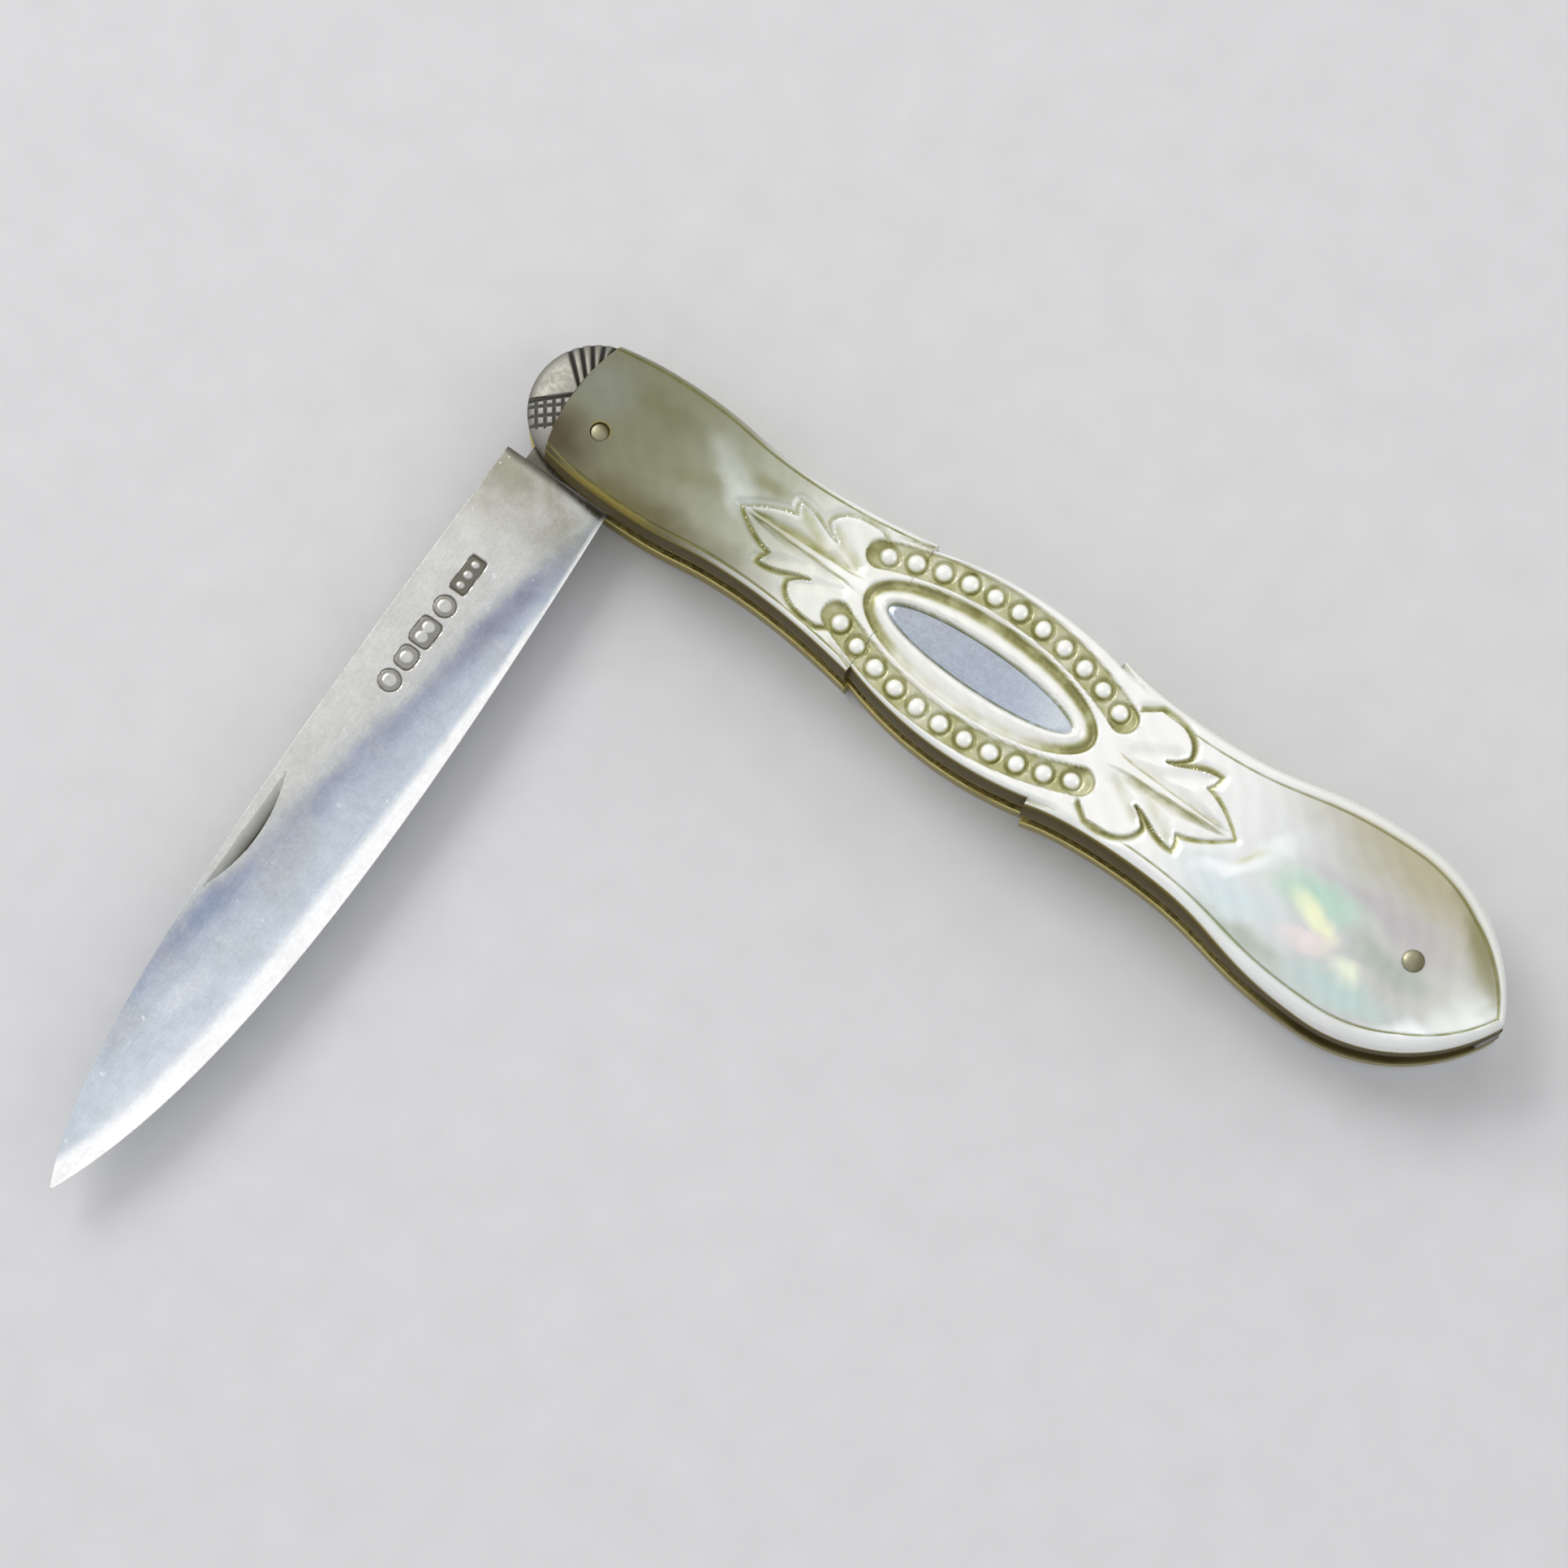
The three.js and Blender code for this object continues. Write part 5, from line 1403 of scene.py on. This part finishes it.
def drilled_bar(name, outline, bottom, top):
    """A flat bar with holes for the three pins."""
    bar = flat_bar(name, outline, bottom, top)
    for x, y in [(0, PIVOT[1]), CENTRE_PIN, (END_PIN_X, 0)]:
        bar = combined(bar, drill(x, y, PIN_HOLE, bottom - 1, top + 1))
    return bar


side = handle_side()
whole = np.vstack([side, (side[1:-1] * (1, -1))[::-1]])
# The front liner takes the darker gilt, which is painted shade.
for name, node, finish in [("front_lining", "front_liner", gilt_in_painted_shade), ("rear_lining", "rear_liner", gilt)]:
    low, high = span(node)
    lining = drilled_bar(name, whole, low[2], high[2])
    store(lining, "shade_and_tarnish", TAIL_DARKENING * smooth(*TAIL_DARKENING_RUN, positions(lining)[:, 0]))
    piece(name, lining, finish, "handle", "liner_gilt", node)

# %% [markdown]
# The spring's outline follows the handle at the back and leaves room for the blade in front. A curve leads
# from its slim arm to the broad tail.

# %% Make the spring
SPRING_LOW, SPRING_HIGH = span("backspring")
SPRING_INNER, SPRING_SWEEP, SPRING_TAIL_X = 2.7, 26.0, 70.0
SPRING_FRONT = SPRING_LOW[0]

tail_y = SPRING_LOW[1]
arm_end = SPRING_TAIL_X - SPRING_SWEEP
inner_edge = eased((arm_end, SPRING_INNER), (SPRING_TAIL_X, tail_y))
tip = whole[(whole[:, 0] > SPRING_TAIL_X) & (whole[:, 1] < 0) & (whole[:, 1] > tail_y)][::-1]
back = side[(side[:, 0] > SPRING_FRONT) & (side[:, 1] > 0)][::-1]
front_end = [(SPRING_FRONT, math.sqrt(BOLSTER_RADIUS**2 - (SPRING_FRONT - BOLSTER_X) ** 2))]
spring_edge = np.vstack([[(SPRING_FRONT, SPRING_INNER)], inner_edge, tip, back, front_end])
spring = drilled_bar("back_spring", spring_edge, SPRING_LOW[2], SPRING_HIGH[2])
piece("back_spring", spring, steel, "handle", "spring_steel", "backspring")

# %% [markdown]
# ## The blade
# A row of small punch marks stands on the front face of the blade. They are kept plain: five sunk
# cartouches with round bosses and no sign on them. They are height-map cuts, as the carving is.

# %% Cuts for the punch marks
MARK_LINE, MARK_DEEP = -2.1, 0.1
MARK_RIM, MARK_WALL = (0.2, 0.06), 0.05
BOSS_RISE, BOSS_WALL = 0.85, 0.1
MARKS = [
    {"at": 14.0, "half": (1.6, 0.74), "corner": 9, "floor": 0.85,
     "bosses": [(-0.95, 0.26), (0, 0.3), (0.95, 0.26)]},
    {"at": 16.95, "half": (0.9, 0.9), "corner": 2, "floor": 0.65, "bosses": [(0, 0.5)]},
    {"at": 19.4, "half": (1.2, 0.96), "corner": 5, "floor": 0.7, "bosses": [(-0.45, 0.44), (0.45, 0.44)]},
    {"at": 21.75, "half": (0.95, 0.86), "corner": 3, "floor": 0.65, "bosses": [(0, 0.46)]},
    {"at": 23.9, "half": (0.9, 0.94), "corner": 2, "floor": 0.65, "bosses": [(0, 0.5)]},
]


def punch_marks(u, v):
    """Plain cartouches: a sunk floor, deepest along its rim, with bosses, as shares of the mark's depth."""
    sunk = np.zeros(np.shape(u))
    for mark in MARKS:
        du, dv = u - mark["at"], v - MARK_LINE
        long, wide = mark["half"]
        corner = mark["corner"]
        size = (np.abs(du / long) ** corner + np.abs(dv / wide) ** corner) ** (1 / corner)
        inside = (1 - size) * wide
        cut = np.maximum(mark["floor"], smooth(*MARK_RIM, inside)) * smooth(-MARK_WALL, MARK_WALL, inside)
        for ahead, radius in mark["bosses"]:
            boss = smooth(radius + BOSS_WALL, radius - BOSS_WALL, np.hypot(du - ahead, dv))
            cut = cut * (1 - BOSS_RISE * boss)
        sunk = np.maximum(sunk, cut)
    return sunk


print("marks:", len(MARKS), "plain punch marks")

# %% [markdown]
# The blade is thick at the back and ground thin towards the edge, with a narrow bright bevel along it. Its
# faces are very slightly crowned, as hand-ground silver is, and that is what bends the reflections. The
# loft runs from the shoulder to the point, and its points stand closest where the marks are.

# %% The blade's shape
BLADE_TURN = math.radians(-90)
BLADE_START, BLADE_LENGTH = 4.2, 69.0
SPINE = [(BLADE_START, -5.55), (30.0, -5.55), (60.0, -5.0), (BLADE_LENGTH, 0.25)]
EDGE_ROOT = 3.5
EDGE = [(BLADE_START, EDGE_ROOT), (26.0, 5.2), (54.0, 6.9), (BLADE_LENGTH, 0.25)]
BLADE_THICK, GRIND_THICK, EDGE_THICK = 1.6, 0.6, 0.22
GRIND_WIDE, GRIND_SHARE, TAPER_POWER = 1.4, 0.35, 3
FACE_CROWN, SPINE_SOFT = 0.1, 0.1
MARK_RUN, MARK_BAND = (12.0, 27.0), (0.42, 0.78)
CURVE_POINTS = 4001
SECTION_STEP, MARK_STEP = 0.3, 0.065
POINT_RUN, POINT_SHARE, POINT_SECTIONS = 4.0, 0.997, 40
FACE_ROWS, MARK_ROWS, REAR_ROWS, BEVEL_ROWS = 13, 46, 16, 5
SOFT_DROP, SOFT_IN, LEAST_THICK = np.array([0.3, 1.0]), np.array([0.3, 0.0]), 0.02


def blade_stations():
    """Shares of the blade's length where a section is taken, close together at the marks and the point."""
    fine = np.linspace(0, 1, CURVE_POINTS)
    reach = bezier(SPINE, CURVE_POINTS)[:, 0]
    wanted = np.concatenate([
        np.arange(BLADE_START, MARK_RUN[0], SECTION_STEP),
        np.arange(*MARK_RUN, MARK_STEP),
        np.arange(MARK_RUN[1], BLADE_LENGTH - POINT_RUN, SECTION_STEP),
    ])
    last = np.interp(wanted[-1], reach, fine)
    point = last + (POINT_SHARE - last) * np.linspace(0, 1, POINT_SECTIONS)[1:]
    return np.concatenate([np.interp(wanted, reach, fine), point])


def blade_face(share, steps):
    """Points of one face from the edge to the back at a share of the length: place, and half thickness."""
    count = len(share)
    at = np.round(share * (CURVE_POINTS - 1)).astype(int)
    back, cutting = (bezier(curve, CURVE_POINTS)[at][:, None] for curve in (SPINE, EDGE))
    wide = np.linalg.norm(back - cutting, axis=-1, keepdims=True)
    ground = cutting + (back - cutting) * np.minimum(GRIND_WIDE / wide, GRIND_SHARE)
    taper = 1 - share[:, None, None] ** TAPER_POWER
    thin = [(EDGE_THICK + (thick - EDGE_THICK) * taper) / 2 for thick in (GRIND_THICK, BLADE_THICK)]
    bevel = np.linspace(0, 1, BEVEL_ROWS)[None, :-1, None]
    rise = steps[None, :, None]
    face = ground + (back - ground) * rise
    crown = FACE_CROWN * taper * 4 * rise * (1 - rise)
    half = thin[0] + (thin[1] - thin[0]) * rise + crown
    bevel_place = cutting + (ground - cutting) * bevel
    bevel_half = EDGE_THICK / 2 + (thin[0] - EDGE_THICK / 2) * bevel
    soft_half = np.maximum(thin[1] - SPINE_SOFT * SOFT_DROP[None, :, None], LEAST_THICK)
    soft_place = back + (ground - back) / wide * SPINE_SOFT * SOFT_IN[None, :, None]
    face = face * (rise < 1) + (back + (ground - back) / wide * SPINE_SOFT) * (rise >= 1)
    places = np.concatenate([bevel_place, face, soft_place], axis=1)
    halves = np.concatenate([bevel_half, half, soft_half], axis=1)[..., 0]
    return places.reshape(count, -1, 2), halves


def blade_body():
    """The blade from its shoulder to its point, with the pivot at the origin."""
    share = blade_stations()
    steps = np.unique(np.concatenate([
        np.linspace(0, MARK_BAND[0], FACE_ROWS),
        np.linspace(*MARK_BAND, MARK_ROWS),
        np.linspace(MARK_BAND[1], 1, FACE_ROWS),
    ]))
    front, front_half = blade_face(share, steps)
    front_half = front_half - MARK_DEEP * punch_marks(front[..., 0], front[..., 1])
    rear, rear_half = blade_face(share, np.linspace(0, 1, REAR_ROWS))
    face = np.concatenate([front, front_half[..., None]], axis=-1)
    rear_face = np.concatenate([rear, -rear_half[..., None]], axis=-1)[:, ::-1]
    return loft("silver_blade", np.concatenate([face, rear_face], axis=1))


print("blade:", len(blade_stations()), "sections")

# %% [markdown]
# Behind the shoulder the blade ends in its tang, the round root that turns on the pin. The spring presses
# on it, so it has a flat for each rest: closed, half open and open. The tang is joined to the blade with
# booleans. The pin hole is drilled, and a tilted disc cuts the nail nick, so that its floor sinks towards
# the curved side.

# %% Join the tang and cut the nick
TANG_FLAT, TANG_RADIUS, TANG_LAP = 3.9, 4.15, 0.05
BLADE_CREASE = math.radians(25)
REST_TURNS = [-3, -90, -180]
NICK_AT, NICK_BELOW, NICK_LONG, NICK_ARCH, NICK_DEEP = 39.4, 0.7, 10.5, 1.0, 0.34
NICK_SHADE, NICK_SLACK, NICK_STEPS = (0.3, 0.7), 0.01, 400
NICK_TILT = math.atan(NICK_DEEP / NICK_ARCH)
NICK_RISE = NICK_ARCH / math.cos(NICK_TILT)
NICK_RADIUS = ((NICK_LONG / 2) ** 2 + NICK_RISE**2) / (2 * NICK_RISE)


def tang_outline():
    """A round, cut off by a flat for each rest."""
    reach = math.acos(TANG_FLAT / TANG_RADIUS)
    flats = [math.pi / 2 - math.radians(turn) for turn in REST_TURNS]
    arcs = []
    for number, flat in enumerate(flats):
        before = flats[number - 1] - (0 if number else 2 * math.pi)
        turn = np.linspace(before + reach, flat - reach, 40)
        arcs.append(TANG_RADIUS * np.stack([np.cos(turn), np.sin(turn)], axis=-1))
    return np.vstack(arcs)


def nick_place():
    """Where the disc that cuts the nail nick stands: tilted, its straight side near the blade's back."""
    share = np.interp(NICK_AT, bezier(SPINE, CURVE_POINTS)[:, 0], np.linspace(0, 1, CURVE_POINTS))
    places, halves = blade_face(np.array([share]), np.linspace(0, 1, 60))
    line = places[0, -1, 1] + NICK_BELOW
    face = np.interp(line, places[0, ::-1, 1], halves[0, ::-1])
    return Matrix.Translation((NICK_AT, line, face)) @ Matrix.Rotation(-NICK_TILT, 4, "X")


def nick_cutter():
    """The tilted disc."""
    turn = np.linspace(0, 2 * math.pi, NICK_STEPS, endpoint=False)
    rise = NICK_RISE + NICK_RADIUS * (np.cos(turn) - 1)
    ring = np.stack([NICK_RADIUS * np.sin(turn), rise, 0 * turn], axis=-1)
    disc = loft("nick", [ring, ring + (0, 0, BLADE_THICK)])
    disc.transform(Matrix.Scale(MM, 4) @ nick_place() @ Matrix.Scale(1 / MM, 4))
    return disc


def blade_cavity(mesh):
    """For each corner: how sunk it is in a punch mark, and the painted shade in the nail nick, darker
    towards its deep side.
    """
    corners = np.empty(len(mesh.loops), int)
    mesh.loops.foreach_get("vertex_index", corners)
    sides = np.empty(len(mesh.polygons), int)
    mesh.polygons.foreach_get("loop_total", sides)
    middles = np.empty(3 * len(mesh.polygons))
    mesh.polygons.foreach_get("center", middles)
    back = np.array(nick_place().inverted())
    x, y, z = (middles.reshape(-1, 3) / MM @ back[:3, :3].T + back[:3, 3]).T
    near = np.hypot(x, y - NICK_RISE + NICK_RADIUS) < NICK_RADIUS + NICK_SLACK
    cut = near & (z > -NICK_SLACK) & (z < BLADE_THICK)
    u, v, w = positions(mesh).T
    toward_arch = np.clip((positions(mesh) @ back[1, :3] + back[1, 3]) / NICK_RISE, 0, 1)
    # Painted shade in the nick, darkest by its curved side.
    nick = (NICK_SHADE[0] + NICK_SHADE[1] * toward_arch**3)[corners] * np.repeat(cut, sides)
    return np.maximum((punch_marks(u, v) * (w > 0))[corners], nick)


half_thick = BLADE_THICK / 2
block_end = BLADE_START + TANG_LAP
shoulder = np.array([(0, -TANG_FLAT), (block_end, -TANG_FLAT), (block_end, EDGE_ROOT), (0, EDGE_ROOT)])
blade = combined(blade_body(), flat_bar("tang", tang_outline(), -half_thick, half_thick), "UNION")
blade = combined(blade, flat_bar("shoulder", shoulder, -half_thick, half_thick), "UNION")
blade = combined(blade, nick_cutter())
blade = combined(blade, drill(0, 0, PIN_HOLE, -BLADE_THICK, BLADE_THICK), crease=BLADE_CREASE)
store(blade, "shade_and_tarnish", blade_cavity(blade), "CORNER")
print("blade: joined to its tang, with", len(blade.polygons), "faces")

# %% [markdown]
# Old silver is never one grey. Painted reflections of the studio lie over this blade: warm white by the
# marks, then a lavender band that slants from the edge to the back, then pale blue to the point. Near the
# handle there is a brownish bloom, the edge has a painted highlight, and the tang has painted shadow. All of
# it depends on two lengths: how far a point lies from the pivot, and how far across the blade. So the finish
# turns its coordinates to lie along the blade, and the soft ovals of the pearl serve again for a few
# patches.
# Last the whole blade is turned half open.

# %% Dress the blade
# Painted reflections of the studio, laid into the silver's colour.
REFLECTION_BANDS = [
    (-3.0, (226, 226, 222)), (-1.6, (225, 225, 221)), (-0.8, (214, 217, 214)), (-0.3, (192, 197, 204)),
    (0.2, (176, 183, 198)), (0.8, (184, 193, 207)), (1.8, (202, 212, 222)), (3.4, (215, 225, 233)),
    (5.0, (218, 228, 237)), (8.0, (234, 243, 250)),
]
REFLECTION_START, REFLECTION_SLANT, REFLECTION_WANDER = 25.5, 0.158, 2.0
REFLECTION_PATCHES = {
    "lavender shade": ((14.6, 1.85), (8.6, 1.5), -9, (158, 160, 177), 0.95),
    "blue by the nick": ((46.0, -3.0), (5.0, 1.5), -12, (160, 172, 196), 0.85),
    "warm grey": ((39.0, -0.4), (6.0, 2.6), 20, (198, 201, 202), 0.8),
    "pale drift": ((51.5, -0.3), (4.0, 1.3), -14, (236, 241, 246), 0.8),
    "grey near the point": ((56.5, -2.4), (3.6, 1.6), 0, (204, 208, 213), 0.7),
}
BLOOM_RUN, TANG_SHADOW_RUN = (12.5, 5.5), (5.0, 4.3)
EDGE_HIGHLIGHT, EDGE_HIGHLIGHT_RUN = (0.1, 2.1), (4, 42)
ROOT_BLOOM, TANG_SHADOW, BRIGHT = tone(172, 170, 150), tone(92, 90, 78), tone(255, 255, 255)


def blade_tones(tree, spot):
    """Silver with drifting painted reflections, a brown bloom at the root, a painted highlight on the edge
    and painted shadow on the tang.
    """
    axes = place(tree, "ShaderNodeSeparateXYZ", {0: spot}).outputs
    drift = noise(tree, spot, 0.3, 4.0, 0.6, 2.0)
    along = times(tree, calc(tree, "SUBTRACT", axes["X"], REFLECTION_START), REFLECTION_SLANT)
    wander = times(tree, calc(tree, "SUBTRACT", drift, 0.5), REFLECTION_WANDER)
    shown = banded(tree, calc(tree, "ADD", axes["Y"], calc(tree, "ADD", along, wander)), REFLECTION_BANDS)
    shown = glowing(tree, spot, shown, REFLECTION_PATCHES, remap(tree, drift, 0.3, 0.6, 0.5, 1))
    root = remap(tree, axes["X"], *BLOOM_RUN, 0, 0.9)
    brown = times(tree, root, remap(tree, drift, 0.3, 0.6, 0.35, 1))
    shown = mixed(tree, brown, shown, ROOT_BLOOM)
    arcs = remap(tree, noise(tree, spot, 2.1, 6.0, 4.5, 5.0), 0.3, 0.7, 0.92, 1.05, "LINEAR")
    clouds = remap(tree, noise(tree, spot, 0.5, 5.0, 0.8, 7.0), 0.35, 0.65, 0.94, 1.05, "LINEAR")
    shown = scaled(tree, shown, times(tree, arcs, clouds))
    specks = remap(tree, noise(tree, spot, 1.6, 2.0, 0.0, 6.0), 0.69, 0.78, 0, 0.8)
    shown = mixed(tree, specks, shown, BRIGHT)
    shown = mixed(tree, stored(tree, "painted_highlight"), shown, BRIGHT)
    # Painted shadow darkens the tang.
    return mixed(tree, remap(tree, axes["X"], *TANG_SHADOW_RUN, 0, 0.9), shown, TANG_SHADOW)


u, v, _ = positions(blade).T
# A painted highlight along the cutting edge, wider further along the blade.
highlight_wide = EDGE_HIGHLIGHT[0] + EDGE_HIGHLIGHT[1] * smooth(*EDGE_HIGHLIGHT_RUN, u)
store(blade, "painted_highlight", smooth(highlight_wide, 0.5 * highlight_wide, from_line(bezier(EDGE, 90), u, v)))
blade.transform(Matrix.Translation(Vector(PIVOT) * MM) @ Matrix.Rotation(BLADE_TURN, 4, "Z"))
blade_silver = metal_finish(
    "blade_silver", blade_tones, tone(206, 205, 201), tone(74, 68, 52), (0.13, 0.22), bloom_share=0.3,
    turn=-BLADE_TURN, shift=PIVOT[1],
)
piece("silver_blade", blade, blade_silver, "blade", "blade_silver", "blade")

# %% [markdown]
# ## Dress what stays, and finish
# The centre pin is hidden between the scales. Its frame node has the right shape already, so it only gets
# the steel finish. The two boxes are printed side by side.

# %% Print the boxes and finish
centre = frame["nodes"]["centre_pin"]
centre.data.materials.clear()
centre.data.materials.append(steel)

visual_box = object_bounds()
boxes = {"cad": [list(corner) for corner in cad_box], "visual": [list(corner) for corner in visual_box]}
for label, box in boxes.items():
    print(label, "box in mm:", [[round(value / MM, 2) for value in corner] for corner in box])
